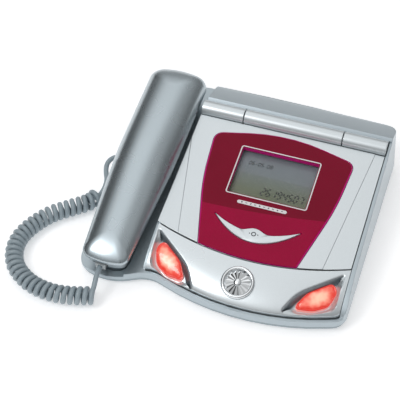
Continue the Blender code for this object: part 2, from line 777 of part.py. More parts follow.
def make_hinge(material, pin_material):
    y, z = barrel_center()
    for name, (start, end) in barrel_spans().items():
        middle = ((start + end) / 2, y, z)
        barrel = cylinder(name, BARREL_RADIUS, end - start, middle, (1, 0, 0), material, sides=36)
        bore = cylinder(name + "_bore", PIN_RADIUS + PIN_CLEARANCE, end - start + 4 * MM, middle,
                        (1, 0, 0), sides=14)
        cut(barrel, bore)
    length = BONNET_WIDTH - 4 * MM
    cylinder("hinge_pin", PIN_RADIUS, length, (BONNET_X, y, z), (1, 0, 0), pin_material, sides=14)


# Keypad and electronics under the bonnet


def key_places():
    """Each key's centre in the bonnet's frame, with its width and length."""
    rows = [["1", "2", "3"], ["4", "5", "6"], ["7", "8", "9"], ["star", "0", "hash"]]
    places = {}
    for row, names in enumerate(rows):
        for column, name in enumerate(names):
            x = PANEL_X + (column - 1) * KEY_PITCH_X
            places["key_" + name] = (x, FRONT_ROW_AT + (3 - row) * KEY_PITCH_Y)
    side_x = PANEL_X + 2.3 * KEY_PITCH_X
    places["key_redial"] = (side_x, FRONT_ROW_AT + 2 * KEY_PITCH_Y)
    places["key_flash"] = (side_x, FRONT_ROW_AT + KEY_PITCH_Y)
    return places


def make_keys(material, deck):
    deck_bottom = DECK_TOP - DECK_THICKNESS
    for name, (x, y) in key_places().items():
        cap = slab(name, rectangle(0, 0, KEY_WIDTH, KEY_LENGTH, 2.2 * MM), deck_bottom - MM,
                   KEY_TOP, material, deck)
        cap.location = (x, y, 0)
        skirt = slab(name + "_skirt", rectangle(0, 0, KEY_WIDTH + 2 * KEY_FLANGE,
                                                KEY_LENGTH + 2 * KEY_FLANGE, 2.2 * MM),
                     deck_bottom - 1.2 * MM, deck_bottom - GAP, parent=deck)
        skirt.location = (x, y, 0)
        join(cap, skirt)


def make_key_deck(material, deck):
    low = DECK_TOP - DECK_THICKNESS
    plate = slab("keypad_deck", bonnet_outline(2.6 * MM, 3.2 * MM), low, DECK_TOP, material, deck)
    for name, (x, y) in key_places().items():
        hole = slab(name + "_hole", rectangle(0, 0, KEY_WIDTH + 2 * GAP, KEY_LENGTH + 2 * GAP,
                                              2.2 * MM), low - MM, DECK_TOP + MM, parent=deck)
        hole.location = (x, y, 0)
        cut(plate, hole)
    opening = slab("display_opening", window_rectangle(BEZEL_WALL + GAP), low - MM, DECK_TOP + MM,
                   parent=deck)
    return cut(plate, opening)


def make_under_deck(mat_material, board_material, display_material, deck):
    mat_top = DECK_TOP - DECK_THICKNESS - 1.2 * MM - KEY_TRAVEL - GAP
    length = 4 * KEY_PITCH_Y + 2 * MM
    center_y = FRONT_ROW_AT + 1.5 * KEY_PITCH_Y
    mat = rectangle(PANEL_X + 0.65 * KEY_PITCH_X, center_y, 4.6 * KEY_PITCH_X, length, 2 * MM)
    slab("keypad_mat", mat, mat_top - MAT_THICKNESS, mat_top, mat_material, deck)
    board_top = mat_top - MAT_THICKNESS - GAP
    board = rectangle(0, BONNET_LENGTH / 2, BONNET_WIDTH - 12 * MM, BONNET_LENGTH - 10 * MM, 3 * MM)
    slab("main_board", board, board_top - BOARD_THICKNESS, board_top, board_material, deck)
    top = -DISPLAY_DROP
    slab("display_module", window_rectangle(BEZEL_WALL - GAP), top - DISPLAY_THICKNESS, top,
         display_material, deck)


def make_speaker(material):
    """The loudspeaker that rings, under the rear block."""
    place = (BONNET_X + 45 * MM, BASE_REAR - 14 * MM, FOOT_HEIGHT + 9 * MM)
    cylinder("base_speaker", 9.5 * MM, 7 * MM, place, (0, 0, 1), material, sides=20)


def line_jack_body(name, grow, material=None):
    half = LINE_JACK_WIDTH / 2 + JACK_WALL + grow
    low = LINE_JACK_Z - LINE_JACK_HEIGHT / 2 - JACK_WALL - grow
    high = LINE_JACK_Z + LINE_JACK_HEIGHT / 2 + JACK_WALL + grow
    rear = BASE_REAR + (REAR_BOW / 2 if not grow else 12 * MM)
    return block(name, (LINE_JACK_X - half, BASE_REAR - JACK_DEPTH - grow, low),
                 (LINE_JACK_X + half, rear, high), material)


def make_line_jack(material):
    jack = line_jack_body("line_jack", 0, material)
    half = LINE_JACK_WIDTH / 2
    socket = block("line_socket",
                   (LINE_JACK_X - half, BASE_REAR - JACK_DEPTH + JACK_WALL,
                    LINE_JACK_Z - LINE_JACK_HEIGHT / 2),
                   (LINE_JACK_X + half, BASE_REAR + 20 * MM, LINE_JACK_Z + LINE_JACK_HEIGHT / 2))
    return cut(jack, socket)


def base_jack_body(name, grow, material=None):
    half = PLUG_WIDTH / 2 + GAP + JACK_WALL + grow
    low = BASE_JACK_Z - PLUG_HEIGHT / 2 - GAP - JACK_WALL - grow
    high = BASE_JACK_Z + PLUG_HEIGHT / 2 + GAP + JACK_WALL + grow
    face = BASE_LEFT + 0.5 * MM if not grow else BASE_LEFT - 10 * MM
    return block(name, (face, BASE_JACK_Y - half, low),
                 (BASE_LEFT + JACK_DEPTH + grow, BASE_JACK_Y + half, high), material)


def make_base_jack(material, plug_material):
    jack = base_jack_body("base_cord_jack", 0, material)
    half = PLUG_WIDTH / 2
    low = BASE_JACK_Z - PLUG_HEIGHT / 2
    high = BASE_JACK_Z + PLUG_HEIGHT / 2
    start = BASE_LEFT + JACK_DEPTH - JACK_WALL
    socket = block("base_socket", (BASE_LEFT - 20 * MM, BASE_JACK_Y - half - GAP, low - GAP),
                   (start, BASE_JACK_Y + half + GAP, high + GAP))
    cut(jack, socket)
    inner = start - GAP * 2
    block("base_plug", (inner - PLUG_LENGTH - 5 * MM, BASE_JACK_Y - half, low),
          (inner, BASE_JACK_Y + half, high), plug_material)


# Handset


def handset_outline(inset, height):
    """The handset's plan at one height: tapered towards the mouthpiece, with bowed ends."""
    front, rear = HANDSET_FRONT_HALF, HANDSET_REAR_HALF
    start, end = HANDSET_START, HANDSET_START + HANDSET_LENGTH
    middle = (start + end) / 2
    wide = rear - 0.2 * MM
    corners = [
        (-front, start + 2 * MM, 8 * MM),
        (0, start - 1.5 * MM, 50 * MM),
        (front, start + 2 * MM, 8 * MM),
        (wide, middle, 400 * MM),
        (rear, end - 3 * MM, 12 * MM),
        (0, end + 2 * MM, 60 * MM),
        (-rear, end - 3 * MM, 12 * MM),
        (-wide, middle, 400 * MM),
    ]
    return [(point.x, point.y, height) for point in rounded(corners, inset, steps=4)]


def arched(ring, share):
    """Raises a ring of the top shell by its share of the crown, which humps mid-length."""
    raised = []
    for x, y, z in ring:
        along = min(max((y - HANDSET_START) / HANDSET_LENGTH, 0), 1)
        crown = (CROWN_FRONT + (CROWN_REAR - CROWN_FRONT) * along
                 + CROWN_HUMP * math.sin(math.pi * along))
        raised.append((x, y, z + share * crown))
    return raised


def crown_rings(inset, base, steps):
    rings = []
    for step in range(steps + 1):
        angle = math.pi / 2 * step / steps
        ring = handset_outline(inset + CROWN_INSET * (1 - math.cos(angle)), base)
        rings.append(arched(ring, math.sin(angle)))
    return rings


def make_handset_top(material, cradle):
    shell = loft("handset_top", crown_rings(0, PARTING + GAP / 2, 6), material, cradle,
                 math.radians(40))
    inside = crown_rings(HANDSET_WALL, PARTING - HANDSET_WALL, 4)
    inside[0] = [(x, y, PARTING - HANDSET_WALL) for x, y, z in inside[0]]
    return cut(shell, loft("handset_top_hollow", inside, parent=cradle))


def lower_rings(inset, top, bottom):
    spread = LOWER_STEP + inset
    return [handset_outline(spread, top), handset_outline(spread + 2.2 * MM, bottom)]


def make_handset_bottom(material, cradle):
    top = PARTING - GAP / 2
    shell = loft("handset_bottom", lower_rings(0, top, GRIP_BOTTOM), material, cradle)
    hollows = [loft("grip_hollow", lower_rings(HANDSET_WALL, top + MM, GRIP_BOTTOM + HANDSET_WALL),
                    parent=cradle)]
    for label, cup in (("mouth", MOUTH_CUP), ("ear", EAR_CUP)):
        join(shell, slab(label + "_cup", cup_outline(cup), CUP_BOTTOM, GRIP_BOTTOM + MM,
                         parent=cradle))
        hollows.append(slab(label + "_cup_hollow", cup_outline(cup, -HANDSET_WALL),
                            CUP_BOTTOM + HANDSET_WALL, top, parent=cradle))
    cut(shell, *hollows)
    for label, cup in (("mouth", MOUTH_CUP), ("ear", EAR_CUP)):
        center = (cup[0] + cup[1]) / 2
        for number in range(3):
            slot = slab(f"{label}_slot_{number}",
                        rectangle(0, center + (number - 1) * 4 * MM, 12 * MM, 1.6 * MM),
                        CUP_BOTTOM - MM, CUP_BOTTOM + 4 * MM, parent=cradle)
            cut(shell, slot)
    cut(shell, handset_jack_body("handset_jack_hole", cradle, GAP))
    return shell


def handset_jack_body(name, cradle, grow, material=None):
    half = PLUG_WIDTH / 2 + GAP + JACK_WALL + grow
    low = HANDSET_JACK_HEIGHT - PLUG_HEIGHT / 2 - GAP - JACK_WALL - grow
    high = HANDSET_JACK_HEIGHT + PLUG_HEIGHT / 2 + GAP + JACK_WALL + grow
    face = HANDSET_START + 5.2 * MM - (15 * MM if grow else 0)
    return block(name, (HANDSET_JACK_X - half, face, low),
                 (HANDSET_JACK_X + half, HANDSET_START + 5.2 * MM + JACK_DEPTH + grow, high),
                 material, cradle)


def make_handset_jack(material, plug_material, cradle):
    jack = handset_jack_body("handset_cord_jack", cradle, 0, material)
    half = PLUG_WIDTH / 2
    low = HANDSET_JACK_HEIGHT - PLUG_HEIGHT / 2
    high = HANDSET_JACK_HEIGHT + PLUG_HEIGHT / 2
    back = HANDSET_START + 5.2 * MM + JACK_DEPTH - JACK_WALL
    socket = block("handset_socket", (HANDSET_JACK_X - half - GAP, -40 * MM, low - GAP),
                   (HANDSET_JACK_X + half + GAP, back, high + GAP), parent=cradle)
    cut(jack, socket)
    inner = back - 2 * GAP
    block("handset_plug", (HANDSET_JACK_X - half, inner - PLUG_LENGTH - 5 * MM, low),
          (HANDSET_JACK_X + half, inner, high), plug_material, cradle)


def make_capsules(material, metal, cradle):
    for name, cup, radius in (("microphone", MOUTH_CUP, 5 * MM), ("earpiece", EAR_CUP, 12 * MM)):
        low = CUP_BOTTOM + HANDSET_WALL + GAP
        center = (cup[0] + cup[1]) / 2 + (6 * MM if name == "microphone" else 0)
        cylinder(name, radius, 4 * MM, (0, center, low + 2 * MM), (0, 0, 1), material, cradle, 18)
    middle = HANDSET_START + HANDSET_LENGTH / 2
    low = GRIP_BOTTOM + HANDSET_WALL + GAP
    block("handset_weight", (-9 * MM, middle - 22 * MM, low), (9 * MM, middle + 22 * MM, low + 5 * MM),
          metal, cradle)


def plunger_shape(name, cradle, grow, top_gap, material=None):
    outline = rectangle(0, PLUNGER_AT, PLUNGER_WIDTH + 2 * grow, PLUNGER_LENGTH + 2 * grow)
    return slab(name, outline, CUP_BOTTOM - 11 * MM, CUP_BOTTOM - top_gap, material, cradle)


def make_hook(material, switch_material, cradle):
    plunger_shape("hook_plunger", cradle, 0, GAP, material)
    top = CUP_BOTTOM - 11 * MM - GAP
    block("hook_switch", (-7 * MM, PLUNGER_AT - 5 * MM, top - 6 * MM),
          (7 * MM, PLUNGER_AT + 5 * MM, top), switch_material, cradle)


# Cord


def through(route, step):
    """Points a step apart on the smooth curve through the route's points."""
    points = [Vector(point) * MM for point in route]
    ends = [points[0] * 2 - points[1], *points, points[-1] * 2 - points[-2]]
    fine = []
    for before, start, end, after in zip(ends, ends[1:], ends[2:], ends[3:]):
        handle = (end - before) / 6, (after - start) / 6
        fine += geometry.interpolate_bezier(start, start + handle[0], end - handle[1], end, 17)[:-1]
    fine.append(points[-1])
    total = sum((b - a).length for a, b in zip(fine, fine[1:]))
    count = max(round(total / step), 2)
    spaced, walked, target = [fine[0]], 0.0, total / count
    for a, b in zip(fine, fine[1:]):
        length = (b - a).length
        while walked + length >= target * len(spaced) and len(spaced) < count:
            spaced.append(a.lerp(b, (target * len(spaced) - walked) / length))
        walked += length
    return spaced + [fine[-1]]


def tube(name, points, diameter, material, sides_setting):
    curve = bpy.data.curves.new(name, "CURVE")
    curve.dimensions = "3D"
    curve.bevel_depth = diameter / 2
    curve.bevel_resolution = sides_setting
    curve.use_fill_caps = True
    spline = curve.splines.new("POLY")
    spline.points.add(len(points) - 1)
    for slot, point in zip(spline.points, points):
        slot.co = (*point, 1)
    curve.materials.append(material)
    bpy.context.collection.objects.link(bpy.data.objects.new(name, curve))


def make_cord(material):
    lying = [(x, y, COIL_DIAMETER / 2 / MM + 0.4) for x, y in COIL_ROUTE]
    tube("curly_cord", through(lying, 9 * MM), COIL_DIAMETER, material, 3)
    tube("cord_tail_handset", through(HANDSET_TAIL_ROUTE, 3 * MM), CORD_DIAMETER, material, 2)
    tube("cord_tail_base", through(BASE_TAIL_ROUTE, 5 * MM), CORD_DIAMETER, material, 2)


def build():
    clear_scene()
    silver = finish("silver_lacquer", (0.72, 0.76, 0.78), 0.28, 0.6)
    grey = finish("grey_lacquer", (0.42, 0.48, 0.52), 0.35, 0.5)
    chrome = finish("chrome", (0.85, 0.86, 0.88), 0.12, 1.0)
    steel = finish("steel", (0.55, 0.55, 0.56), 0.35, 1.0)
    crimson = finish("crimson_plastic", (0.35, 0.005, 0.06), 0.15)
    clear = finish("clear_plastic", (0.9, 0.95, 0.95), 0.05, 0.0, 0.3)
    white = finish("white_print", (0.9, 0.88, 0.88), 0.4)
    lens = finish("lens_red", (0.9, 0.12, 0.06), 0.1)
    dark = finish("dark_plastic", (0.04, 0.045, 0.05), 0.5)
    display = finish("display_glass", (0.3, 0.36, 0.28), 0.2)
    board = finish("circuit_board", (0.03, 0.2, 0.08), 0.5)
    rubber = finish("rubber", (0.03, 0.03, 0.03), 0.85)
    cord = finish("cord_plastic", (0.42, 0.5, 0.54), 0.45)
    keys = finish("key_plastic", (0.75, 0.76, 0.78), 0.4)

    deck = empty("bonnet_frame", (BONNET_X, BONNET_Y, BONNET_Z), TILT)
    cradle = empty("cradle_frame", (HANDSET_X, CRADLE_Y, CRADLE_Z), TILT)

    make_top_case(silver, cradle)
    make_bottom_case(grey)
    make_battery_door(grey)
    make_batteries(steel)
    make_feet(rubber)
    fascia = make_fascia(silver)
    cut(fascia, make_medallion(chrome))
    make_headlights(lens, dark)
    make_bonnet(silver, deck)
    make_panel(crimson, deck)
    make_window(clear, deck)
    make_icon_strip(white, deck)
    make_crescent(silver, deck)
    make_hinge(silver, steel)
    make_keys(keys, deck)
    make_key_deck(silver, deck)
    make_under_deck(rubber, board, display, deck)
    make_speaker(dark)
    make_line_jack(dark)
    make_base_jack(dark, clear)
    make_handset_top(silver, cradle)
    make_handset_bottom(grey, cradle)
    make_handset_jack(dark, clear, cradle)
    make_capsules(dark, steel, cradle)
    make_hook(dark, dark, cradle)
    make_cord(cord)


build()
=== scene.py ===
import math

import bmesh
import bpy
from mathutils import Matrix, Vector, geometry


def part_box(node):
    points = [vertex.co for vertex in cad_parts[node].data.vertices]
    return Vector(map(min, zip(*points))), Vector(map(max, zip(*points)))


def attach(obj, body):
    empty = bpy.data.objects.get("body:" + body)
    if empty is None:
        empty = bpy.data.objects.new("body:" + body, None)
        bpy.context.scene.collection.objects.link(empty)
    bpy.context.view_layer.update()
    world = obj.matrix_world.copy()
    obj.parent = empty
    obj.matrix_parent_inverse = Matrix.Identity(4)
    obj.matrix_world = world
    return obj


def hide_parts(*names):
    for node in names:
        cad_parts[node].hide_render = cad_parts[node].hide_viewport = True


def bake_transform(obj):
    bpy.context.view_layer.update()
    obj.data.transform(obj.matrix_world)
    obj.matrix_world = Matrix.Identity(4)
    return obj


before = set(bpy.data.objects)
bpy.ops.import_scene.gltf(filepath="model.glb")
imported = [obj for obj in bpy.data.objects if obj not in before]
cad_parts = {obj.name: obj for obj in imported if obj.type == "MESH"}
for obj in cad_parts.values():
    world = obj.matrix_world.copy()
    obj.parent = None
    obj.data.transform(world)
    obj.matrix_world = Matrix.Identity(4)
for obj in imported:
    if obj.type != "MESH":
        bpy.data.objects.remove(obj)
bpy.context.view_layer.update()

MM = 0.001
TILT = math.radians(7.6)
GAP = 0.3 * MM
DECK_ORIGIN = Vector((22.5, -49.5, 30.8)) * MM
CRADLE_ORIGIN = Vector((-78.5, -95, 9.5)) * MM
DECK = Matrix.Translation(DECK_ORIGIN) @ Matrix.Rotation(TILT, 4, "X")
CRADLE = Matrix.Translation(CRADLE_ORIGIN) @ Matrix.Rotation(TILT, 4, "X")

BASE_LEFT, BASE_RIGHT, BASE_REAR = -103 * MM, 103 * MM, 96.5 * MM
BASE_FRONT_LEFT = -91 * MM
WALL = 2.4 * MM
RIM_TOP = 12.4 * MM
BONNET_WIDTH = 150 * MM
BONNET_BOW = 14 * MM
SEAM_GAP = 1.4 * MM
FASCIA_FRONT = -100 * MM
FASCIA_RADIUS = 185 * MM
FASCIA_SLOPE = math.radians(20.6)
FASCIA_X = 27 * MM
FASCIA_ROUND = 0.55
NOTCH = 74.5 * MM
POCKET_DEPTH = 5 * MM
PANEL_X = -1.8 * MM
PANEL_TOP = 0.8 * MM
WINDOW = (61.4 * MM, 43.4 * MM)
WINDOW_FRONT = 40.4 * MM
DISPLAY_FACE = -5.2 * MM
STRIP_TOP = 1.3 * MM
STRIP_AT = 33.2 * MM
CRESCENT_HALF = 33 * MM
CRESCENT_BUMP_HALF, CRESCENT_BUMP = 12 * MM, 4.4 * MM
CRESCENT_FRONT, CRESCENT_FRONT_BOW = 0.6 * MM, 17.0 * MM
CRESCENT_BACK, CRESCENT_BACK_BOW = 8.6 * MM, 9.6 * MM
KEY_PITCH_X, KEY_PITCH_Y = 17 * MM, 10.5 * MM
FRONT_ROW_AT = 2 * MM
KEY_PRINT_HEIGHT, KEY_PRINT_SIZE = -6.97 * MM, 5.5 * MM
KEY_EDGE = 0.45 * MM

HANDSET_START, HANDSET_LENGTH = -1 * MM, 187 * MM
HANDSET_FRONT_HALF, HANDSET_REAR_HALF = 18 * MM, 24 * MM
PARTING = 18.5 * MM
CROWN_FRONT, CROWN_REAR, CROWN_HUMP = 7.5 * MM, 13 * MM, 9 * MM

CORD_DIAMETER = 4 * MM
COIL_MEAN_RADIUS = 5.3 * MM
COIL_PITCH = 5 * MM
COIL_AXIS_HEIGHT = 7.7
COIL_ROUTE = [
    (-76.6, -113.8), (-95.3, -119.9), (-111.5, -122.0), (-126.4, -119.7), (-138.5, -113.8),
    (-148.0, -105.0), (-153.6, -93.0), (-154.6, -80.0), (-150.2, -65.6), (-141.0, -51.0),
    (-127.8, -39.0), (-117.0, -29.0), (-111.8, -16.0),
]
HANDSET_TAIL = [
    (-82.0, -96.06, 18.94), (-82.0, -99.6, 18.5), (-81.9, -104.0, 17.4), (-81.5, -108.4, 15.4),
    (-81.2, -111.6, 13.8),
]
BASE_TAIL = [
    (-113.0, -2.5, 9.3), (-115.8, 3.5, 10.7), (-117.0, 9.0, 11.8), (-116.2, 14.0, 12.3),
    (-113.6, 17.6, 12.5), (-110.6, 18.9, 12.5), (-107.0, 19.0, 12.5),
]


# Camera


def place_camera():
    data = bpy.data.cameras.new("camera")
    data.lens = 112.9
    data.clip_end = 10
    camera = bpy.data.objects.new("camera", data)
    bpy.context.collection.objects.link(camera)
    camera.location = Vector((169.4, -625.9, 750.6)) * MM
    target = Vector((-28.79, -19.41, 30)) * MM
    camera.rotation_euler = (target - camera.location).to_track_quat("-Z", "Y").to_euler()
    bpy.context.scene.camera = camera


# Materials


class Link:
    """A socket that takes part in arithmetic: each operation adds its Math node."""

    def __init__(self, finish, socket):
        self.finish = finish
        self.socket = socket

    def math(self, operation, *values):
        numbered = dict(enumerate(values))
        return self.finish.node("Math", {"operation": operation}, numbered)

    def __add__(self, other):
        return self.math("ADD", self, other)

    def __sub__(self, other):
        return self.math("SUBTRACT", self, other)

    def __rsub__(self, other):
        return self.math("SUBTRACT", other, self)

    def __mul__(self, other):
        return self.math("MULTIPLY", self, other)

    def __truediv__(self, other):
        return self.math("DIVIDE", self, other)

    def __pow__(self, other):
        return self.math("POWER", self, other)

    __radd__ = __add__
    __rmul__ = __mul__

    def ramp(self, low, high, smooth=True):
        """0 below low and 1 above high."""
        kind = "SMOOTHSTEP" if smooth else "LINEAR"
        return self.finish.node("MapRange", {"interpolation_type": kind},
                                {"Value": self, "From Min": low, "From Max": high})


class Finish:
    """A node tree under construction, for one material or the world."""

    def __init__(self, owner):
        owner.use_nodes = True
        self.owner = owner
        self.tree = owner.node_tree

    def node(self, kind, settings, values, out=0):
        """One node: its settings are set first, then its sockets' values or links."""
        node = self.tree.nodes.new("ShaderNode" + kind)
        for name, value in settings.items():
            setattr(node, name, value)
        for key, value in values.items():
            self.feed(node.inputs[key], value)
        return Link(self, node.outputs[out])

    def feed(self, socket, value):
        if isinstance(value, Link):
            self.tree.links.new(value.socket, socket)
        else:
            socket.default_value = value

    def mix(self, factor, first, second):
        """Two colours mixed by a factor."""
        return self.node("Mix", {"data_type": "RGBA", "clamp_factor": False},
                         {0: factor, 6: first, 7: second}, out=2)

    def place(self, origin=(0, 0, 0), tilt=0.0, stretch=(1, 1, 1)):
        """Object coordinates measured from a piece's own origin, along its own tilt."""
        here = self.node("TexCoord", {}, {}, out="Object")
        return self.node("Mapping", {"vector_type": "TEXTURE"}, {
            "Vector": here, "Location": tuple(origin), "Rotation": (tilt, 0, 0),
            "Scale": stretch})

    def noise(self, where, scale, detail=2.0):
        return self.node("TexNoise", {}, {"Vector": where, "Scale": scale, "Detail": detail})

    def bump(self, height, depth, strength=1.0):
        return self.node("Bump", {}, {"Height": height, "Distance": depth, "Strength": strength})

    def axes(self, where):
        """The three numbers of a place."""
        split = [self.node("SeparateXYZ", {}, {"Vector": where}, out=axis) for axis in range(3)]
        return split


def material(name, color, roughness, metallic=0.0, **constants):
    """A Finish whose shader has its constant values set."""
    finish = Finish(bpy.data.materials.new(name))
    shader = finish.tree.nodes["Principled BSDF"]
    finish.shader = shader
    shader.inputs["Base Color"].default_value = (*color, 1)
    shader.inputs["Roughness"].default_value = roughness
    shader.inputs["Metallic"].default_value = metallic
    for socket, value in constants.items():
        shader.inputs[socket.replace("_", " ")].default_value = value
    return finish


def show(finish, **links):
    """Feeds the shader what changes over the surface, and gives the finished material."""
    for socket, value in links.items():
        finish.feed(finish.shader.inputs[socket.replace("_", " ")], value)
    return finish.owner


def shade(color, factor):
    return tuple(channel * factor for channel in color)


def rgba(color):
    return (*color, 1)


def lacquer(name, color, roughness, metallic, flake, shadow=None):
    """Sprayed metallic lacquer: fine flake, a faint cloud of tone and orange peel; given a shadow
    colour, painted shade is mixed in by a vertex attribute.
    """
    finish = material(name, color, roughness, metallic, Coat_Roughness=0.12, Coat_IOR=1.45)
    where = finish.place()
    flakes = finish.node("TexVoronoi", {}, {"Vector": where, "Scale": 2600.0}, out="Color")
    glint = finish.axes(flakes)[0]
    cloud = finish.noise(where, 26.0, 3.0)
    tone = glint * flake + cloud * 0.5 + (0.25 - flake / 2)
    base = finish.mix(tone, rgba(shade(color, 0.96)), rgba(shade(color, 1.04)))
    if shadow:
        # Painted shade: a darker shadow colour mixed in where the attribute marks the pocket walls.
        pocket_painted_shade = finish.node("Attribute", {"attribute_name": "pocket_painted_shade"}, {}, out="Fac")
        base = finish.mix(pocket_painted_shade, base, rgba(shadow))
    peel = finish.noise(where, 420.0, 1.0)
    return show(finish, Base_Color=base, Roughness=cloud * 0.06 + (roughness - 0.03),
                Coat_Weight=cloud * 0.1 + 0.15, Normal=finish.bump(peel, 0.012 * MM, 0.3))


def moulded(name, color, roughness, grain=1400.0, depth=0.03 * MM, **constants):
    """Plain moulded plastic: spark-eroded grain with slightly uneven gloss."""
    finish = material(name, color, roughness, **constants)
    where = finish.place()
    fine = finish.noise(where, grain, 3.0)
    broad = finish.noise(where, 60.0, 2.0)
    base = finish.mix(broad, rgba(shade(color, 0.88)), rgba(shade(color, 1.12)))
    return show(finish, Base_Color=base, Roughness=fine * 0.14 + broad * 0.1 + (roughness - 0.12),
                Normal=finish.bump(fine, depth, 0.5))


def brushed(name, color, roughness, stretch=(1, 1, 1)):
    """Bare metal with fine drawn lines and a few dull patches."""
    finish = material(name, color, roughness, 1.0)
    where = finish.place(stretch=stretch)
    lines = finish.noise(where, 900.0, 4.0)
    patches = finish.noise(where, 40.0, 2.0)
    base = finish.mix(patches, rgba(shade(color, 0.9)), rgba(shade(color, 1.05)))
    return show(finish, Base_Color=base,
                Roughness=lines * 0.08 + patches * 0.08 + (roughness - 0.08),
                Normal=finish.bump(lines, 0.01 * MM, 0.4))


def crimson_gloss():
    """Deep clear-coated crimson, with a darker lens area behind a printed arc, and painted highlight
    in bright magenta on the bevels and window walls.
    """
    color = (0.37, 0.001, 0.04)
    finish = material("crimson_gloss", color, 0.2, Coat_Weight=0.06, Coat_Roughness=0.04,
                      Specular_IOR_Level=0.08)
    where = finish.place(DECK_ORIGIN, TILT)
    x, y, z = finish.axes(where)
    arc = x * x * 0.8 + x * 0.0933 + 27.84 * MM
    above = (y - arc).ramp(-0.25 * MM, 0.25 * MM)
    cloud = finish.noise(where, 34.0, 2.0)
    pearl = finish.node("TexVoronoi", {}, {"Vector": where, "Scale": 2400.0}, out="Color")
    glint = finish.axes(pearl)[1]
    body = finish.mix(cloud * 0.6 + glint * 0.4, rgba(shade(color, 0.82)), rgba((0.44, 0.001, 0.055)))
    lens = finish.mix(cloud, rgba((0.2, 0.0006, 0.018)), rgba((0.26, 0.001, 0.026)))
    ripple = finish.noise(where, 120.0, 1.0)
    # Painted highlight: bright magenta on the bevels and window walls, below the panel's top face.
    painted_edge_highlight = z.ramp(0.4 * MM, 0.7 * MM)
    printed = finish.mix(above, body, lens)
    return show(finish, Base_Color=finish.mix(painted_edge_highlight, rgba((0.72, 0.02, 0.26)), printed),
                Roughness=(1 - above) * 0.1 + glint * 0.04 + 0.08,
                Normal=finish.bump(ripple, 0.03 * MM, 0.25))


def display_glass():
    """A reflective liquid-crystal face with painted reflection: bluish grey above, olive below, split
    by a soft painted horizon line, with a soft painted cell shadow.
    """
    finish = material("display_glass", (0.3, 0.36, 0.28), 0.25, Coat_Weight=0.1, Coat_Roughness=0.05)
    where = finish.place(DECK_ORIGIN, TILT)
    _, y, _ = finish.axes(where)
    # Painted reflection and shade: darker olive towards the front, bluish grey further back.
    rise = y.ramp(WINDOW_FRONT + 4 * MM, WINDOW_FRONT + WINDOW[1] - 6 * MM)
    base = finish.mix(rise, rgba((0.15, 0.18, 0.095)), rgba((0.21, 0.25, 0.29)))
    # Painted reflection: a soft bluish horizon line across the face.
    painted_horizon_line = (y - WINDOW_FRONT - 0.56 * WINDOW[1]).ramp(-0.6 * MM, 0.6 * MM)
    base = finish.mix(painted_horizon_line * 0.5, base, rgba((0.22, 0.26, 0.3)))
    grain = finish.noise(where, 700.0, 2.0)
    base = finish.mix(grain * 0.25, base, rgba((0.12, 0.15, 0.1)))
    return show(finish, Base_Color=base, Roughness=grain * 0.12 + 0.2)


def clear_pane(name, tint, alpha, roughness):
    """Clear moulded plastic, shown by its gloss more than by its tint."""
    finish = material(name, tint, roughness, IOR=1.49)
    where = finish.place()
    haze = finish.noise(where, 90.0, 3.0)
    return show(finish, Alpha=haze * 0.06 + (alpha - 0.03), Roughness=haze * 0.06 + roughness)


def jewel_lens():
    """Ribbed red lamp plastic, painted as lit from within with painted glow and emission: peach at
    the heart, deep red at its rim.
    """
    finish = material("red_lens", (0.85, 0.16, 0.08), 0.12, Coat_Weight=0.8, Coat_Roughness=0.03,
                      Emission_Strength=0.55)
    heart = finish.node("Attribute", {"attribute_name": "heart"}, {}, out="Fac")
    where = finish.place()
    cells = finish.node("TexVoronoi", {"feature": "F1"}, {"Vector": where, "Scale": 260.0})
    blur = finish.noise(where, 150.0, 2.0)
    # Painted glow: brightest at the lens's heart, broken up by noise and cells.
    glow = (heart + blur * 0.5 + cells * 0.25 - 0.42).ramp(0.1, 0.85)
    warm = finish.mix(glow, rgba((0.78, 0.05, 0.03)), rgba((1.0, 0.5, 0.36)))
    edge = heart.ramp(0.0, 0.16)
    base = finish.mix(edge, rgba((0.5, 0.015, 0.012)), warm)
    base = finish.mix(heart.ramp(0.015, 0.05), rgba((0.95, 0.55, 0.5)), base)
    # Painted glow given as emission, though no lamp lights the lens.
    light = finish.mix(glow, rgba((0.55, 0.02, 0.01)), rgba((1.0, 0.42, 0.28)))
    return show(finish, Base_Color=base, Emission_Color=light, Roughness=cells * 0.1 + 0.06,
                Normal=finish.bump(cells, 0.5 * MM, 0.6))


def cord_plastic():
    """Soft cord jacket: matt, with fine grain and a faint bloom from handling."""
    color = (0.33, 0.4, 0.44)
    finish = material("cord_plastic", color, 0.42, Coat_Weight=0.15, Coat_Roughness=0.35)
    where = finish.place()
    bloom = finish.noise(where, 30.0, 3.0)
    fine = finish.noise(where, 1500.0, 2.0)
    base = finish.mix(bloom, rgba(shade(color, 0.88)), rgba(shade(color, 1.12)))
    return show(finish, Base_Color=base, Roughness=bloom * 0.15 + fine * 0.1 + 0.3,
                Normal=finish.bump(fine, 0.02 * MM, 0.5))


def circuit_board():
    """Green solder mask with lighter tracks in two directions."""
    finish = material("circuit_board", (0.02, 0.16, 0.06), 0.4, Coat_Weight=0.3)
    where = finish.place(DECK_ORIGIN, TILT)
    x, y, _ = finish.axes(where)
    patch = finish.noise(where, 45.0, 0.0).ramp(0.48, 0.52)
    across = (x * 500.0).math("PINGPONG", x * 500.0, 0.5).ramp(0.3, 0.36)
    along = (y * 500.0).math("PINGPONG", y * 500.0, 0.5).ramp(0.3, 0.36)
    tracks = patch * across + (1 - patch) * along
    base = finish.mix(tracks, rgba((0.012, 0.11, 0.04)), rgba((0.04, 0.26, 0.1)))
    return show(finish, Base_Color=base, Normal=finish.bump(tracks, 0.05 * MM, 0.6))


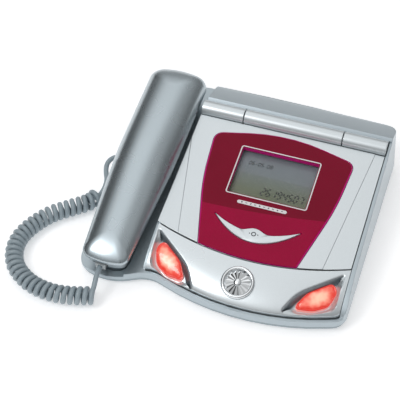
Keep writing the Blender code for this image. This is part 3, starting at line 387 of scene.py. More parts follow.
def battery_wrap():
    """Shrink-wrapped cells: a plain two-tone sleeve."""
    finish = material("battery_wrap", (0.2, 0.3, 0.4), 0.35, 0.2, Coat_Weight=0.3)
    where = finish.place()
    _, y, _ = finish.axes(where)
    band = y.ramp(34 * MM, 34.3 * MM)
    wrinkle = finish.noise(where, 160.0, 3.0)
    base = finish.mix(band, rgba((0.05, 0.13, 0.1)), rgba((0.62, 0.46, 0.2)))
    return show(finish, Base_Color=base, Roughness=wrinkle * 0.2 + 0.25,
                Normal=finish.bump(wrinkle, 0.05 * MM, 0.4))


def studio_floor():
    finish = material("studio_floor", (0.93, 0.93, 0.94), 0.75, Specular_IOR_Level=0.1,
                      Emission_Color=(1, 1, 1, 1), Emission_Strength=0.4)
    cloud = finish.noise(finish.place(), 4.0, 2.0)
    base = finish.mix(cloud, rgba((0.92, 0.92, 0.93)), rgba((0.94, 0.94, 0.95)))
    return show(finish, Base_Color=base)


SILVER = lacquer("silver_lacquer", (0.66, 0.71, 0.735), 0.3, 0.72, 0.5)
# The case lacquer is a darker copy of the silver lacquer: painted shade.
CASE = lacquer("case_lacquer", (0.47, 0.54, 0.58), 0.34, 0.6, 0.3)
# The nose lacquer takes a slate painted shade on its pocket walls.
NOSE = lacquer("nose_lacquer", (0.66, 0.71, 0.735), 0.28, 0.72, 0.5, (0.16, 0.19, 0.21))
# The handset lacquer is a darker copy of the silver lacquer: painted shade.
GRIP = lacquer("handset_lacquer", (0.46, 0.525, 0.56), 0.27, 0.85, 0.4)
GREY = lacquer("grey_lacquer", (0.33, 0.39, 0.42), 0.36, 0.6, 0.4)
CHROME = brushed("bright_chrome", (0.82, 0.85, 0.87), 0.13)
STEEL = brushed("steel", (0.55, 0.55, 0.56), 0.34, (1, 0.1, 1))
CRIMSON = crimson_gloss()
PANE = clear_pane("clear_pane", (0.3, 0.33, 0.33), 0.06, 0.06)
PLUG = clear_pane("clear_plug", (0.8, 0.86, 0.88), 0.5, 0.12)
DISPLAY = display_glass()
WHITE = moulded("white_print", (0.85, 0.83, 0.85), 0.45, depth=0.01 * MM)
LENS = jewel_lens()
DARK = moulded("dark_plastic", (0.035, 0.04, 0.045), 0.48)
INK = moulded("display_ink", (0.006, 0.008, 0.006), 0.6, depth=0.005 * MM)
PRINT = moulded("key_print", (0.08, 0.09, 0.1), 0.5, depth=0.005 * MM)
KEYS = moulded("key_plastic", (0.7, 0.72, 0.74), 0.4)
RUBBER = moulded("rubber", (0.028, 0.028, 0.03), 0.85, 700.0, 0.08 * MM)
BOARD = circuit_board()
WRAP = battery_wrap()
CORD = cord_plastic()


# Shapes


def piece(name, mesh, finish, body, place=None, sharp=40.0):
    """A finished mesh in the telephone's frame, riding on its body."""
    if place is not None:
        bmesh.ops.transform(mesh, matrix=place, verts=mesh.verts)
    bmesh.ops.recalc_face_normals(mesh, faces=mesh.faces)
    data = bpy.data.meshes.new(name)
    mesh.to_mesh(data)
    mesh.free()
    data.shade_smooth()
    data.set_sharp_from_angle(angle=math.radians(sharp))
    data.materials.append(finish)
    thing = bpy.data.objects.new(name, data)
    bpy.context.collection.objects.link(thing)
    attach(thing, body)
    return thing


def soften(mesh, width, angle, segments=2, clamp=False):
    """Rounds every edge that turns by more than an angle."""
    sharp = [edge for edge in mesh.edges if len(edge.link_faces) == 2
             and edge.calc_face_angle(0.0) > math.radians(angle)]
    bmesh.ops.bevel(mesh, geom=sharp, offset=width, segments=segments, profile=0.5,
                    affect="EDGES", clamp_overlap=clamp, material=-1)


def refined(node, body, finish, width=0.35 * MM, angle=32.0, clamp=False):
    """A carried-over part with its moulded edges rounded."""
    mesh = bmesh.new()
    mesh.from_mesh(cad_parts[node].data)
    bmesh.ops.remove_doubles(mesh, verts=mesh.verts, dist=2e-6)
    bmesh.ops.dissolve_limit(mesh, angle_limit=math.radians(1.0), verts=mesh.verts,
                             edges=mesh.edges)
    if width:
        soften(mesh, width, angle, clamp=clamp)
    thing = piece(node + "_finished", mesh, finish, body, sharp=60.0)
    thing.modifiers.new("flat_faces_stay_flat", "WEIGHTED_NORMAL").keep_sharp = True
    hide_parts(node)
    return thing


def repaint(node, finish):
    """A carried-over part that keeps its shape and takes a new material."""
    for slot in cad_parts[node].material_slots:
        slot.link = "OBJECT"
        slot.material = finish


def loft(rings, close=True):
    """A bmesh through rings of points that all have the same count."""
    mesh = bmesh.new()
    loops = []
    for ring in rings:
        corners = [mesh.verts.new(point) for point in ring]
        loops.append([mesh.edges.new(pair) for pair in zip(corners, corners[1:] + corners[:1])])
    for lower, upper in zip(loops, loops[1:]):
        bmesh.ops.bridge_loops(mesh, edges=lower + upper)
    if close:
        bmesh.ops.holes_fill(mesh, edges=loops[0] + loops[-1], sides=0)
    return mesh


def box_mesh(mesh, center, size, lean=0.0):
    """Adds a small block, leaning sideways as it rises in plan."""
    made = bmesh.ops.create_cube(mesh, size=1)["verts"]
    bmesh.ops.scale(mesh, vec=size, verts=made)
    for vert in made:
        vert.co.x += vert.co.y * lean
    bmesh.ops.translate(mesh, vec=center, verts=made)


def disc_mesh(mesh, center, radius, thickness, sides=20):
    made = bmesh.ops.create_cone(mesh, cap_ends=True, segments=sides, radius1=radius,
                                 radius2=radius, depth=thickness)["verts"]
    bmesh.ops.translate(mesh, vec=center, verts=made)


def rounded(corners, inset=0.0, steps=5):
    """The outline of a polygon with rounded corners (x, y, radius), moved inwards by inset."""
    points = [Vector(corner[:2]) for corner in corners]
    area = sum(a.cross(b) for a, b in zip(points, points[1:] + points[:1]))
    side = math.copysign(1, area)
    moved = []
    for index, here in enumerate(points):
        into = (here - points[index - 1]).normalized()
        out = (points[(index + 1) % len(points)] - here).normalized()
        turn = math.atan2(into.cross(out), into.dot(out))
        inward = Vector((-into.y, into.x)) * side
        place = here + inward * inset - into * (inset * side * math.tan(turn / 2))
        radius = corners[index][2]
        if radius:
            radius = max(radius - math.copysign(inset, turn * side), 0.2 * MM)
        moved.append((place, radius, turn))
    sides = [(here[0] - moved[index - 1][0]).length for index, here in enumerate(moved)]
    reach = [(radius or 0.0) * math.tan(abs(turn) / 2) for _, radius, turn in moved]
    outline = []
    for index, (here, radius, turn) in enumerate(moved):
        if not radius:
            outline.append(here)
            continue
        after = (index + 1) % len(moved)
        share = min(1, 0.98 * sides[index] / (reach[index] + reach[index - 1]),
                    0.98 * sides[after] / (reach[index] + reach[after]))
        into = (here - moved[index - 1][0]).normalized()
        across = Vector((-into.y, into.x)) * math.copysign(radius * share, turn)
        start = here - into * (reach[index] * share)
        for step in range(steps + 1):
            spin = Matrix.Rotation(turn * step / steps, 2)
            outline.append(start + across - spin @ across)
    return outline


def rectangle(x, y, width, length, radius=0.0, steps=6):
    half_x, half_y = width / 2, length / 2
    corners = [(x - half_x, y - half_y), (x + half_x, y - half_y), (x + half_x, y + half_y),
               (x - half_x, y + half_y)]
    return rounded([(*corner, radius) for corner in corners], steps=steps)


def band(outer, inner, low, high):
    """A flat closed ring between two outlines of the same count."""
    mesh = bmesh.new()
    loops = []
    for line in (outer, inner):
        corners = [mesh.verts.new((point[0], point[1], low)) for point in line]
        loops += [mesh.edges.new(pair) for pair in zip(corners, corners[1:] + corners[:1])]
    bmesh.ops.bridge_loops(mesh, edges=loops)
    extruded = bmesh.ops.extrude_face_region(mesh, geom=mesh.faces[:])
    raised = [item for item in extruded["geom"] if isinstance(item, bmesh.types.BMVert)]
    bmesh.ops.translate(mesh, vec=(0, 0, high - low), verts=raised)
    return mesh


def smoothstep(value, low=0.0, high=1.0):
    share = min(max((value - low) / (high - low), 0.0), 1.0)
    return share * share * (3 - 2 * share)


# Cord


def through(route, step):
    """Points about a step apart on the smooth curve through the route's points."""
    points = [Vector(point) for point in route]
    ends = [points[0] * 2 - points[1], *points, points[-1] * 2 - points[-2]]
    fine = []
    for before, start, end, after in zip(ends, ends[1:], ends[2:], ends[3:]):
        pull = (end - before) / 6, (after - start) / 6
        count = max(round((end - start).length / step), 1)
        fine += geometry.interpolate_bezier(start, start + pull[0], end - pull[1], end,
                                            count + 1)[:-1]
    return fine + [points[-1]]


def coil_path():
    """The whole cord's centre line: straight tail, coil, straight tail."""
    axis = through([Vector((x, y, COIL_AXIS_HEIGHT)) * MM for x, y in COIL_ROUTE], 0.25 * MM)
    walked, turn = 0.0, []
    start = 4.6 * MM
    total = sum((b - a).length for a, b in zip(axis, axis[1:]))
    turns = math.floor((total - start - 4 * MM) / COIL_PITCH) + 0.35
    last = start + turns * COIL_PITCH
    spacing = COIL_PITCH / 18
    target = start
    for a, b in zip(axis, axis[1:]):
        length = (b - a).length
        while walked <= target < walked + length and target <= last:
            ahead = (b - a).normalized()
            side = ahead.cross(Vector((0, 0, 1)))
            angle = (target - start) / COIL_PITCH * 2 * math.pi
            across = Vector((0, 0, math.cos(angle))) - side * math.sin(angle)
            turn.append(a.lerp(b, (target - walked) / length) + across * COIL_MEAN_RADIUS)
            target += spacing
        walked += length
    into = [Vector(point) * MM for point in HANDSET_TAIL]
    away = [Vector(point) * MM for point in BASE_TAIL]
    lead_in = through(into, 1.5 * MM)
    near = (turn[0] - into[-1]).length / 2.5
    heading = (into[-1] - into[-2]).normalized()
    join_in = geometry.interpolate_bezier(into[-1], into[-1] + heading * near,
                                          turn[0] - (turn[1] - turn[0]).normalized() * near,
                                          turn[0], 4)[1:-1]
    leave = (turn[-1] - turn[-2]).normalized()
    arrive = (away[1] - away[0]).normalized()
    span = (away[0] - turn[-1]).length
    join_out = geometry.interpolate_bezier(turn[-1], turn[-1] + leave * span * 0.4,
                                           away[0] - arrive * span * 0.45, away[0], 12)[1:-1]
    return lead_in + join_in + turn + join_out + through(away, 1.5 * MM)


def make_cord():
    path = coil_path()
    curve = bpy.data.curves.new("coiled_cord", "CURVE")
    curve.dimensions = "3D"
    curve.bevel_depth = CORD_DIAMETER / 2
    curve.bevel_resolution = 4
    curve.use_fill_caps = True
    spline = curve.splines.new("POLY")
    spline.points.add(len(path) - 1)
    for slot, point in zip(spline.points, path):
        slot.co = (*point, 1)
    holder = bpy.data.objects.new("coiled_cord_line", curve)
    bpy.context.collection.objects.link(holder)
    data = bpy.data.meshes.new_from_object(holder)
    bpy.data.objects.remove(holder)
    mesh = bmesh.new()
    mesh.from_mesh(data)
    bmesh.ops.remove_doubles(mesh, verts=mesh.verts, dist=1e-7)
    bmesh.ops.recalc_face_normals(mesh, faces=mesh.faces)
    mesh.to_mesh(data)
    mesh.free()
    data.shade_smooth()
    data.materials.clear()
    data.materials.append(CORD)
    cord = bpy.data.objects.new("coiled_cord", data)
    bpy.context.collection.objects.link(cord)
    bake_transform(cord)
    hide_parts("curly_cord", "cord_tail_handset", "cord_tail_base")


# Base


def seam_bow(x):
    return BONNET_BOW * (1 - (x / (BONNET_WIDTH / 2)) ** 2)


def front_bow(x):
    offset = max(x - FASCIA_X, 8.5 * MM - NOTCH)
    return FASCIA_FRONT + FASCIA_RADIUS - math.sqrt(FASCIA_RADIUS**2 - offset**2)


def bonnet_plane(y):
    return DECK_ORIGIN.z + (y - DECK_ORIGIN.y) * math.tan(TILT)


def fascia_top(x):
    return DECK_ORIGIN.y - seam_bow(x - DECK_ORIGIN.x) - SEAM_GAP


def fascia_height(x, y):
    """The height of the fascia's smooth surface above a place in plan."""
    top_y = fascia_top(x)
    lip_y = front_bow(x) + WALL + GAP
    along = min(max((y - top_y) / (lip_y - top_y), 0.0), 1.0)
    curve = FASCIA_ROUND * (1 - math.cos(math.asin(along))) + (1 - FASCIA_ROUND) * along
    return bonnet_plane(top_y) + (RIM_TOP - bonnet_plane(top_y)) * curve


def base_outline(inset):
    tip = FASCIA_FRONT - FASCIA_RADIUS * (1 / math.cos(FASCIA_SLOPE) - 1)
    rise = math.tan(FASCIA_SLOPE)
    corners = [
        (BASE_LEFT, BASE_FRONT_LEFT, 14 * MM),
        (BASE_LEFT + 27 * MM, BASE_FRONT_LEFT - 8.5 * MM, 40 * MM),
        (FASCIA_X - NOTCH, tip + rise * NOTCH, 22 * MM),
        (FASCIA_X, tip, FASCIA_RADIUS),
        (BASE_RIGHT, tip + rise * (BASE_RIGHT - FASCIA_X), 12 * MM),
        (BASE_RIGHT, BASE_REAR, 14 * MM),
        (0, BASE_REAR + 6 * MM, 1500 * MM),
        (BASE_LEFT, BASE_REAR, 14 * MM),
    ]
    return rounded(corners, inset, steps=12)


def front_edge(outline, x):
    """The foremost Y of an outline at x."""
    found = []
    for a, b in zip(outline, outline[1:] + outline[:1]):
        if min(a.x, b.x) <= x <= max(a.x, b.x) and a.x != b.x:
            found.append(a.y + (b.y - a.y) * (x - a.x) / (b.x - a.x))
    return min(found) if found else outline[0].y


def pocket_corners():
    """The right-hand pocket, measured from the bonnet's centre line."""
    lip = [front_bow(DECK_ORIGIN.x + x) + WALL + GAP + 1.2 * MM
           for x in (32 * MM, 52 * MM, 71.2 * MM)]
    y = DECK_ORIGIN.y
    return [
        (32 * MM, lip[0], 2 * MM),
        (41.5 * MM, y - 28 * MM, 34 * MM),
        (72.3 * MM, y - 4.5 * MM, 1.5 * MM),
        (71.2 * MM, lip[2] + 2 * MM, 6 * MM),
        (52 * MM, lip[1], 60 * MM),
    ]


def lens_corners():
    y = DECK_ORIGIN.y
    return [
        (40.5 * MM, y - 38.7 * MM, 2.5 * MM),
        (48.5 * MM, y - 24.8 * MM, 20 * MM),
        (65.5 * MM, y - 12 * MM, 4 * MM),
        (70.3 * MM, y - 18 * MM, 7 * MM),
        (66.5 * MM, y - 29.5 * MM, 9 * MM),
        (56 * MM, y - 35.5 * MM, 16 * MM),
    ]


def signed_distance(point, outline):
    """Distance to an outline, above zero inside it, and the share of the nearest place along it."""
    nearest, share, inside = 1.0, 0.0, False
    for index, (a, b) in enumerate(zip(outline, outline[1:] + outline[:1])):
        foot, part = geometry.intersect_point_line(point, a, b)
        foot = a if part < 0 else b if part > 1 else foot
        away = (point - Vector(foot[:2])).length
        if away < nearest:
            nearest, share = away, (index + min(max(part, 0), 1)) / len(outline)
        if (a.y > point.y) != (b.y > point.y):
            if point.x < (b.x - a.x) * (point.y - a.y) / (b.y - a.y) + a.x:
                inside = not inside
    return (nearest if inside else -nearest), share


def pocket_depth(point, pocket, lens):
    """How deep the fascia sinks at a place, and how much painted shade its pocket wall gets: a soft
    wall inside, a floor that rises outside."""
    edge, share = signed_distance(point, pocket)
    if edge <= 0:
        return 0.0, 0.0
    to_lens = max(-signed_distance(point, lens)[0], 0.0)
    wall = smoothstep(edge, 0.0, 3.4 * MM)
    slope = 0.16 + 0.84 * smoothstep(edge / (edge + to_lens + 1e-6))
    crisp = smoothstep(edge, 0.0, 0.5 * MM)
    inner = smoothstep(share, 0.02, 0.1) * (1 - smoothstep(share, 0.44, 0.52))
    depth = POCKET_DEPTH * (inner * wall + (1 - inner) * slope * crisp)
    # Painted shade: strongest a little inside the pocket's edge, fading towards its floor.
    shadow = smoothstep(edge, 0.2 * MM, 1.2 * MM) * (1 - smoothstep(edge, 2.6 * MM, 6 * MM))
    return depth, inner * shadow


def make_fascia():
    """The painted nose between bonnet and rim, with its two sunken headlight pockets, whose walls
    carry painted shade.
    """
    left = DECK_ORIGIN.x - BONNET_WIDTH / 2 - 0.8 * MM + WALL + GAP
    right = DECK_ORIGIN.x + BONNET_WIDTH / 2 + 0.5 * MM - GAP
    columns, rows = 250, 90
    mesh = bmesh.new()
    pocket_painted_shade = mesh.verts.layers.float.new("pocket_painted_shade")
    bmesh.ops.create_grid(mesh, x_segments=columns, y_segments=rows, size=1)
    pocket, lens = rounded(pocket_corners(), steps=8), rounded(lens_corners(), steps=6)
    limit = base_outline(WALL + GAP + 0.9 * MM)
    for vert in mesh.verts:
        x = left + (right - left) * (vert.co.x + 1) / 2
        t = (1 - vert.co.y) / 2
        top_y, lip_y = fascia_top(x), front_bow(x) + WALL + GAP
        y = top_y + (lip_y - top_y) * math.sin(t * math.pi / 2)
        z = fascia_height(x, y)
        depth, vert[pocket_painted_shade] = pocket_depth(Vector((abs(x - DECK_ORIGIN.x), y)), pocket, lens)
        vert.co = (x, max(y, front_edge(limit, x)), z - depth)
    extruded = bmesh.ops.extrude_face_region(mesh, geom=mesh.faces[:])
    moved = [item for item in extruded["geom"] if isinstance(item, bmesh.types.BMVert)]
    bmesh.ops.translate(mesh, vec=(0, 0, -2.2 * MM), verts=moved)
    rim = [edge for edge in mesh.edges if len(edge.link_faces) == 2
           and edge.calc_face_angle(0.0) > math.radians(50)
           and edge.verts[0] not in moved and edge.verts[1] not in moved]
    bmesh.ops.bevel(mesh, geom=rim, offset=0.35 * MM, segments=2, profile=0.5, affect="EDGES",
                    clamp_overlap=True, material=-1)
    fascia = piece("fascia_nose", mesh, NOSE, "root", sharp=35.0)
    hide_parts("front_fascia")


def make_lens(side, label):
    """A domed lamp lens whose surface follows the fascia, with a rim that stands on the floor."""
    outline = [Vector((point.x, point.y)) for point in rounded(lens_corners(), steps=8)]
    middle = sum(outline, Vector((0, 0))) / len(outline)
    profile = [(1.0, 5.1), (1.0, 3.7), (0.985, 3.3), (0.955, 3.1), (0.93, 3.15), (0.915, 3.3),
               (0.9, 3.3), (0.885, 2.95), (0.86, 2.65), (0.8, 2.35), (0.7, 2.1), (0.55, 1.9),
               (0.4, 1.8), (0.25, 1.75), (0.1, 1.72)]
    rings = []
    for scale, depth in profile:
        ring = []
        for point in outline:
            spot = middle + (point - middle) * scale
            x = DECK_ORIGIN.x + side * spot.x
            ring.append((x, spot.y, fascia_height(x, spot.y) - depth * MM))
        rings.append(ring)
    mesh = loft(rings)
    lens = piece(f"lamp_lens_{label}", mesh, LENS, "root", sharp=60.0)
    heart = lens.data.attributes.new("heart", "FLOAT", "POINT")
    centre = Vector((DECK_ORIGIN.x + side * middle.x, middle.y))
    flat = [Vector((DECK_ORIGIN.x + side * point.x, point.y)) for point in outline]
    for item, vert in zip(heart.data, lens.data.vertices):
        spot = Vector(vert.co[:2])
        edge = max(signed_distance(spot, flat)[0], 0.0)
        reach = (spot - centre).length
        item.value = edge / (edge + reach * 0.6 + 1e-6)
    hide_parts(f"headlight_lens_{label}")


def make_medallion():
    """A plain round badge: a bright raised ring round a fluted sunburst disc."""
    low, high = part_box("medallion")
    centre = (low + high) / 2
    x = centre.x
    slope = math.atan2(fascia_height(x, centre.y + 2 * MM) - fascia_height(x, centre.y - 2 * MM),
                       4 * MM)
    place = Matrix.Translation(centre) @ Matrix.Rotation(slope, 4, "X")
    ring = bmesh.new()
    profile = [(12.5, -1.6), (12.55, 0.2), (12.3, 0.9), (11.6, 1.45), (10.8, 1.5), (10.1, 1.15),
               (9.8, 0.4), (9.7, -1.6)]
    spots = [ring.verts.new((radius * MM, 0, height * MM)) for radius, height in profile]
    edges = [ring.edges.new(pair) for pair in zip(spots, spots[1:] + spots[:1])]
    bmesh.ops.spin(ring, geom=spots + edges, cent=(0, 0, 0), axis=(0, 0, 1), angle=2 * math.pi,
                   steps=72, use_merge=True)
    piece("medallion_ring", ring, CHROME, "root", place, sharp=45.0)
    disc = bmesh.new()
    petals = 16
    made = bmesh.ops.create_cone(disc, cap_ends=True, segments=petals * 2, radius1=9.75 * MM,
                                 radius2=2.6 * MM, depth=0.9 * MM)["verts"]
    for vert in made:
        angle = math.atan2(vert.co.y, vert.co.x) / (2 * math.pi) * petals * 2
        if round(angle) % 2 and vert.co.xy.length > 5 * MM:
            vert.co.z -= 0.9 * MM
    boss = bmesh.ops.create_uvsphere(disc, u_segments=32, v_segments=16, radius=2.9 * MM)["verts"]
    bmesh.ops.scale(disc, vec=(1, 1, 0.45), verts=boss)
    bmesh.ops.translate(disc, vec=(0, 0, 0.3 * MM), verts=boss)
    bmesh.ops.translate(disc, vec=(0, 0, 0.25 * MM), verts=disc.verts)
    sunburst = piece("medallion_sunburst", disc, CHROME, "root", place, sharp=12.0)
    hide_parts("medallion")


# Bonnet, panel and display


def make_display():
    """Seven-bar digits and a small date line on the liquid-crystal face."""
    bars = {
        "0": "abcdef", "1": "bc", "2": "abged", "3": "abgcd", "4": "fgbc", "5": "afgcd",
        "6": "afgedc", "7": "abc", "8": "abcdefg", "9": "abcdfg", "-": "g",
    }
    ink = bmesh.new()

    def digit(sign, x, y, width, height, stroke):
        spots = {
            "a": (0, height / 2, True), "g": (0, 0, True), "d": (0, -height / 2, True),
            "f": (-width / 2, height / 4, False), "b": (width / 2, height / 4, False),
            "e": (-width / 2, -height / 4, False), "c": (width / 2, -height / 4, False),
        }
        for bar in bars[sign]:
            across, up, lying = spots[bar]
            size = ((width - stroke * 1.1, stroke) if lying
                    else (stroke, height / 2 - stroke * 1.1))
            box_mesh(ink, (x + across + up * 0.14, y + up, DISPLAY_FACE + 0.06 * MM),
                     (*size, 0.08 * MM), 0.14)

    right = PANEL_X + WINDOW[0] / 2
    left = PANEL_X - WINDOW[0] / 2
    for index, sign in enumerate("26194507"):
        digit(sign, right - 36.0 * MM + index * 4.35 * MM, WINDOW_FRONT + 10.4 * MM, 2.7 * MM,
              6.6 * MM, 1.1 * MM)
    for index, sign in enumerate("06-05"):
        digit(sign, left + 8.2 * MM + index * 2.5 * MM, WINDOW_FRONT + 34.4 * MM, 1.6 * MM,
              3.2 * MM, 0.66 * MM)
    for index, sign in enumerate("08"):
        digit(sign, left + 22.8 * MM + index * 2.5 * MM, WINDOW_FRONT + 34.4 * MM, 1.6 * MM,
              3.2 * MM, 0.66 * MM)
    piece("display_digits", ink, INK, "root", DECK)


def make_window_frame():
    """The white line printed round the window, and the small symbols below it."""
    y = WINDOW_FRONT + WINDOW[1] / 2
    outer = rectangle(PANEL_X, y, WINDOW[0] + 2.9 * MM, WINDOW[1] + 2.9 * MM, 2.0 * MM)
    inner = rectangle(PANEL_X, y, WINDOW[0] + 1.1 * MM, WINDOW[1] + 1.1 * MM, 1.1 * MM)
    frame_line = band(outer, inner, PANEL_TOP - 0.1 * MM, PANEL_TOP + 0.12 * MM)
    piece("window_frame_line", frame_line, WHITE, "bonnet", DECK)
    refined("symbol_strip", "bonnet", WHITE, 0.12 * MM)
    marks = bmesh.new()
    count, pitch = 10, 3.5 * MM
    height = STRIP_TOP + 0.03 * MM
    for index in range(count):
        x = PANEL_X - 1.1 * MM + (index - (count - 1) / 2) * pitch
        kind = index % 4
        if kind == 0:
            disc_mesh(marks, (x, STRIP_AT, height), 0.6 * MM, 0.1 * MM)
        elif kind == 1:
            box_mesh(marks, (x, STRIP_AT, height), (1.5 * MM, 0.5 * MM, 0.1 * MM))
        elif kind == 2:
            box_mesh(marks, (x, STRIP_AT, height), (0.8 * MM, 1.2 * MM, 0.1 * MM), 0.3)
        else:
            for step in (-0.5, 0.5):
                box_mesh(marks, (x + step * MM, STRIP_AT, height), (0.4 * MM, 1.2 * MM, 0.1 * MM))
    piece("symbol_marks", marks, PRINT, "bonnet", DECK)


def crescent_outline(grow):
    """A smile-shaped key: two arcs that meet in points, with a bump behind the middle."""
    half = CRESCENT_HALF + grow * 2
    steps = 40
    front, back = [], []
    for step in range(steps + 1):
        x = -half + 2 * half * step / steps
        share = (x / CRESCENT_HALF) ** 2
        bump = 0
        if abs(x) < CRESCENT_BUMP_HALF:
            bump = CRESCENT_BUMP * math.cos(x / CRESCENT_BUMP_HALF * math.pi / 2) ** 2
        front.append((x + PANEL_X, CRESCENT_FRONT - grow + CRESCENT_FRONT_BOW * share))
        back.append((x + PANEL_X, CRESCENT_BACK + grow + CRESCENT_BACK_BOW * share + bump))
    return front + back[::-1]


def make_crescent():
    """The domed silver key, rounded over along both arcs."""
    profile = [(0.6, -4.5), (0.6, -3.6), (0.0, -3.5), (0.0, 1.0), (-0.12, 1.35), (-0.4, 1.58)]
    rings = [[(*point, height * MM) for point in crescent_outline(grow * MM)]
             for grow, height in profile]
    key = piece("crescent_key_finished", loft(rings), SILVER, "crescent_key", DECK, sharp=40.0)
    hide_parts("crescent_key")


def make_crescent_mark():
    """A small ring with a dot on each side, raised on the crescent key."""
    mark = bmesh.new()
    height = PANEL_TOP + 0.85 * MM
    spots = [mark.verts.new((radius * MM, 0, z * MM)) for radius, z in
             ((1.9, -0.15), (1.9, 0.1), (1.2, 0.1), (1.2, -0.15))]
    edges = [mark.edges.new(pair) for pair in zip(spots, spots[1:] + spots[:1])]
    bmesh.ops.spin(mark, geom=spots + edges, cent=(0, 0, 0), axis=(0, 0, 1), angle=2 * math.pi,
                   steps=32, use_merge=True)
    for side in (-1, 1):
        disc_mesh(mark, (side * 3.2 * MM, 0, 0), 0.45 * MM, 0.2 * MM)
    place = DECK @ Matrix.Translation((PANEL_X, 7.6 * MM, height))
    piece("crescent_mark", mark, PRINT, "crescent_key", place)


# Keypad


def print_sign(name, sign, body, x, y, size):
    """A numeral printed on a key."""
    curve = bpy.data.curves.new(name, "FONT")
    curve.body = sign
    curve.size = size
    curve.extrude = 0.05 * MM
    curve.align_x = "CENTER"
    curve.align_y = "CENTER"
    holder = bpy.data.objects.new(name + "_text", curve)
    bpy.context.collection.objects.link(holder)
    bpy.context.view_layer.update()
    data = bpy.data.meshes.new_from_object(holder)
    bpy.data.objects.remove(holder)
    mesh = bmesh.new()
    mesh.from_mesh(data)
    bmesh.ops.remove_doubles(mesh, verts=mesh.verts, dist=1e-7)
    piece(name, mesh, PRINT, body, DECK @ Matrix.Translation((x, y, KEY_PRINT_HEIGHT)))


def make_keys():
    rows = [["1", "2", "3"], ["4", "5", "6"], ["7", "8", "9"], ["star", "0", "hash"]]
    signs = {"star": "*", "hash": "#"}
    for row, names in enumerate(rows):
        for column, name in enumerate(names):
            key = "key_" + name
            refined(key, key, KEYS, KEY_EDGE)
            print_sign("print_" + key, signs.get(name, name), key,
                       PANEL_X + (column - 1) * KEY_PITCH_X,
                       FRONT_ROW_AT + (3 - row) * KEY_PITCH_Y, KEY_PRINT_SIZE)
    for key in ("key_redial", "key_flash"):
        refined(key, key, KEYS, KEY_EDGE)


# Handset


def handset_outline(inset, steps=10):
    """The handset's plan outline, wider towards its ear end, moved in by an inset."""
    start, end = HANDSET_START, HANDSET_START + HANDSET_LENGTH
    middle = (start + end) / 2
    wide = HANDSET_REAR_HALF - 0.2 * MM
    corners = [
        (-HANDSET_FRONT_HALF, start + 2 * MM, 8 * MM),
        (0, start - 1.5 * MM, 50 * MM),
        (HANDSET_FRONT_HALF, start + 2 * MM, 8 * MM),
        (wide, middle, 400 * MM),
        (HANDSET_REAR_HALF, end - 3 * MM, 12 * MM),
        (0, end + 2 * MM, 60 * MM),
        (-HANDSET_REAR_HALF, end - 3 * MM, 12 * MM),
        (-wide, middle, 400 * MM),
    ]
    return rounded(corners, inset, steps=steps)


def crown(y):
    """How high the shell's ridge stands above its parting line at y."""
    along = min(max((y - HANDSET_START) / HANDSET_LENGTH, 0), 1)
    return CROWN_FRONT + (CROWN_REAR - CROWN_FRONT) * along + CROWN_HUMP * math.sin(math.pi * along)


def make_handset_top():
    """The broad silver shell: one crowned surface that rolls over into its sides and ends."""
    outline = handset_outline(0)
    spine = (22 * MM, 162 * MM)
    steps = 22
    rings = []
    base = PARTING + GAP / 2
    lip = handset_outline(0.35 * MM)
    rings.append([(p.x, p.y, base) for p in handset_outline(2.2 * MM)])
    rings.append([(p.x, p.y, base) for p in lip])
    for step in range(steps):
        share = math.cos(math.pi / 2 * step / steps)
        reach = share ** 0.95
        rise = (1 - reach ** 2.3) ** (1 / 2.1)
        ring = []
        for point in outline:
            middle = Vector((0, min(max(point.y, spine[0]), spine[1])))
            spot = middle + (point - middle) * reach
            ring.append((spot.x, spot.y, base + 0.35 * MM + (crown(spot.y) - 0.4 * MM) * rise))
        rings.append(ring)
    mesh = loft(rings, close=False)
    inner = [edge for edge in mesh.edges if edge.is_boundary
             and all(vert.co.z > base + 4 * MM for vert in edge.verts)]
    bmesh.ops.triangle_fill(mesh, edges=inner, use_beauty=True)
    floor = [edge for edge in mesh.edges if edge.is_boundary]
    bmesh.ops.holes_fill(mesh, edges=floor, sides=0)
    shell = piece("handset_shell", mesh, GRIP, "handset", CRADLE, sharp=50.0)
    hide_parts("handset_top")


# Stage and light


def make_stage():
    """A plain pale floor."""
    mesh = bmesh.new()
    bmesh.ops.create_grid(mesh, x_segments=2, y_segments=2, size=6)
    data = bpy.data.meshes.new("studio_floor")
    mesh.to_mesh(data)
    mesh.free()
    data.materials.append(studio_floor())
    floor = bpy.data.objects.new("studio_floor", data)
    bpy.context.collection.objects.link(floor)


def add_light(name, size, power, place, target, tone=(1, 1, 1)):
    data = bpy.data.lights.new(name, "AREA")
    data.shape = "DISK"
    data.size = size
    data.energy = power
    data.color = tone
    lamp = bpy.data.objects.new(name, data)
    bpy.context.collection.objects.link(lamp)
    lamp.location = place
    aim = Vector(target) - Vector(place)
    lamp.rotation_euler = aim.to_track_quat("-Z", "Y").to_euler()


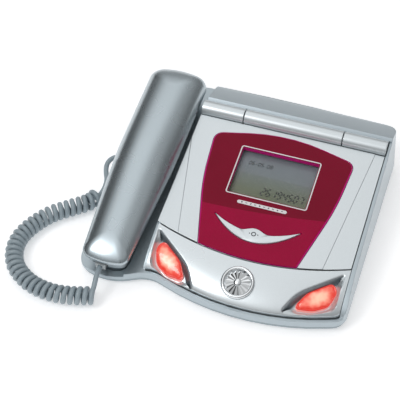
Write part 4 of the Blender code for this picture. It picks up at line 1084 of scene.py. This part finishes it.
def light_studio():
    """A soft dome that is darker at its sides, and one softbox ahead on the left."""
    scene = bpy.context.scene
    scene.view_settings.view_transform = "Standard"
    world = bpy.data.worlds.new("studio")
    scene.world = world
    finish = Finish(world)
    way = finish.node("TexCoord", {}, {}, out="Generated")
    x, _, z = finish.axes(way)
    dome = z.ramp(0.3, 0.85) * 0.78 + 0.34
    edge = x.ramp(-0.85, -0.35) * (1 - x.ramp(-0.15, 0.35) * 0.55)
    color = finish.mix(dome * edge + 0.03, (0.0, 0.0, 0.0, 1), (1.0, 1.0, 1.0, 1))
    background = finish.tree.nodes["Background"]
    finish.feed(background.inputs["Color"], color)
    background.inputs["Strength"].default_value = 1.0
    add_light("front_softbox", 0.7, 6.0, (-0.75, -0.8, 1.45), (0, 0, 0))


def finish_parts():
    """Every carried-over part gets its rounded edges or its new material."""
    refined("top_case", "root", CASE, 0.3 * MM)
    refined("bottom_case", "root", GREY, 0.3 * MM)
    refined("bonnet", "bonnet", SILVER, 0.3 * MM, 50.0)
    refined("crimson_panel", "bonnet", CRIMSON, 0.18 * MM)
    for part in ("left", "right"):
        refined("hinge_barrel_" + part, "root", SILVER, 0.5 * MM)
        repaint("headlight_case_" + part, DARK)
    refined("hinge_barrel_middle", "bonnet", SILVER, 0.5 * MM)
    refined("keypad_deck", "root", SILVER, 0.25 * MM)
    refined("handset_bottom", "handset", GREY, 0.35 * MM)
    refined("line_jack", "root", DARK, 0.3 * MM)
    refined("base_cord_jack", "root", DARK, 0.3 * MM)
    refined("handset_cord_jack", "handset", DARK, 0.3 * MM)
    refined("hook_plunger", "hook_plunger", DARK, 0.4 * MM)
    refined("battery_door", "battery_door", GREY, 0.3 * MM)
    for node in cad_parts:
        if node.startswith("foot_"):
            refined(node, "root", RUBBER, 0.4 * MM)
        elif node.startswith("battery_") and node != "battery_door":
            repaint(node, WRAP)
    refined("handset_plug", "handset", PLUG, 0.25 * MM)
    refined("base_plug", "root", PLUG, 0.25 * MM)
    for node, finish in (
            ("hinge_pin", STEEL), ("display_window", PANE), ("display_module", DISPLAY),
            ("main_board", BOARD), ("keypad_mat", RUBBER), ("base_speaker", DARK),
            ("microphone", DARK), ("earpiece", DARK), ("handset_weight", STEEL),
            ("hook_switch", DARK)):
        repaint(node, finish)


place_camera()
make_cord()
finish_parts()
make_fascia()
make_lens(-1, "left")
make_lens(1, "right")
make_medallion()
make_display()
make_window_frame()
make_crescent()
make_crescent_mark()
make_keys()
make_handset_top()
make_stage()
light_studio()
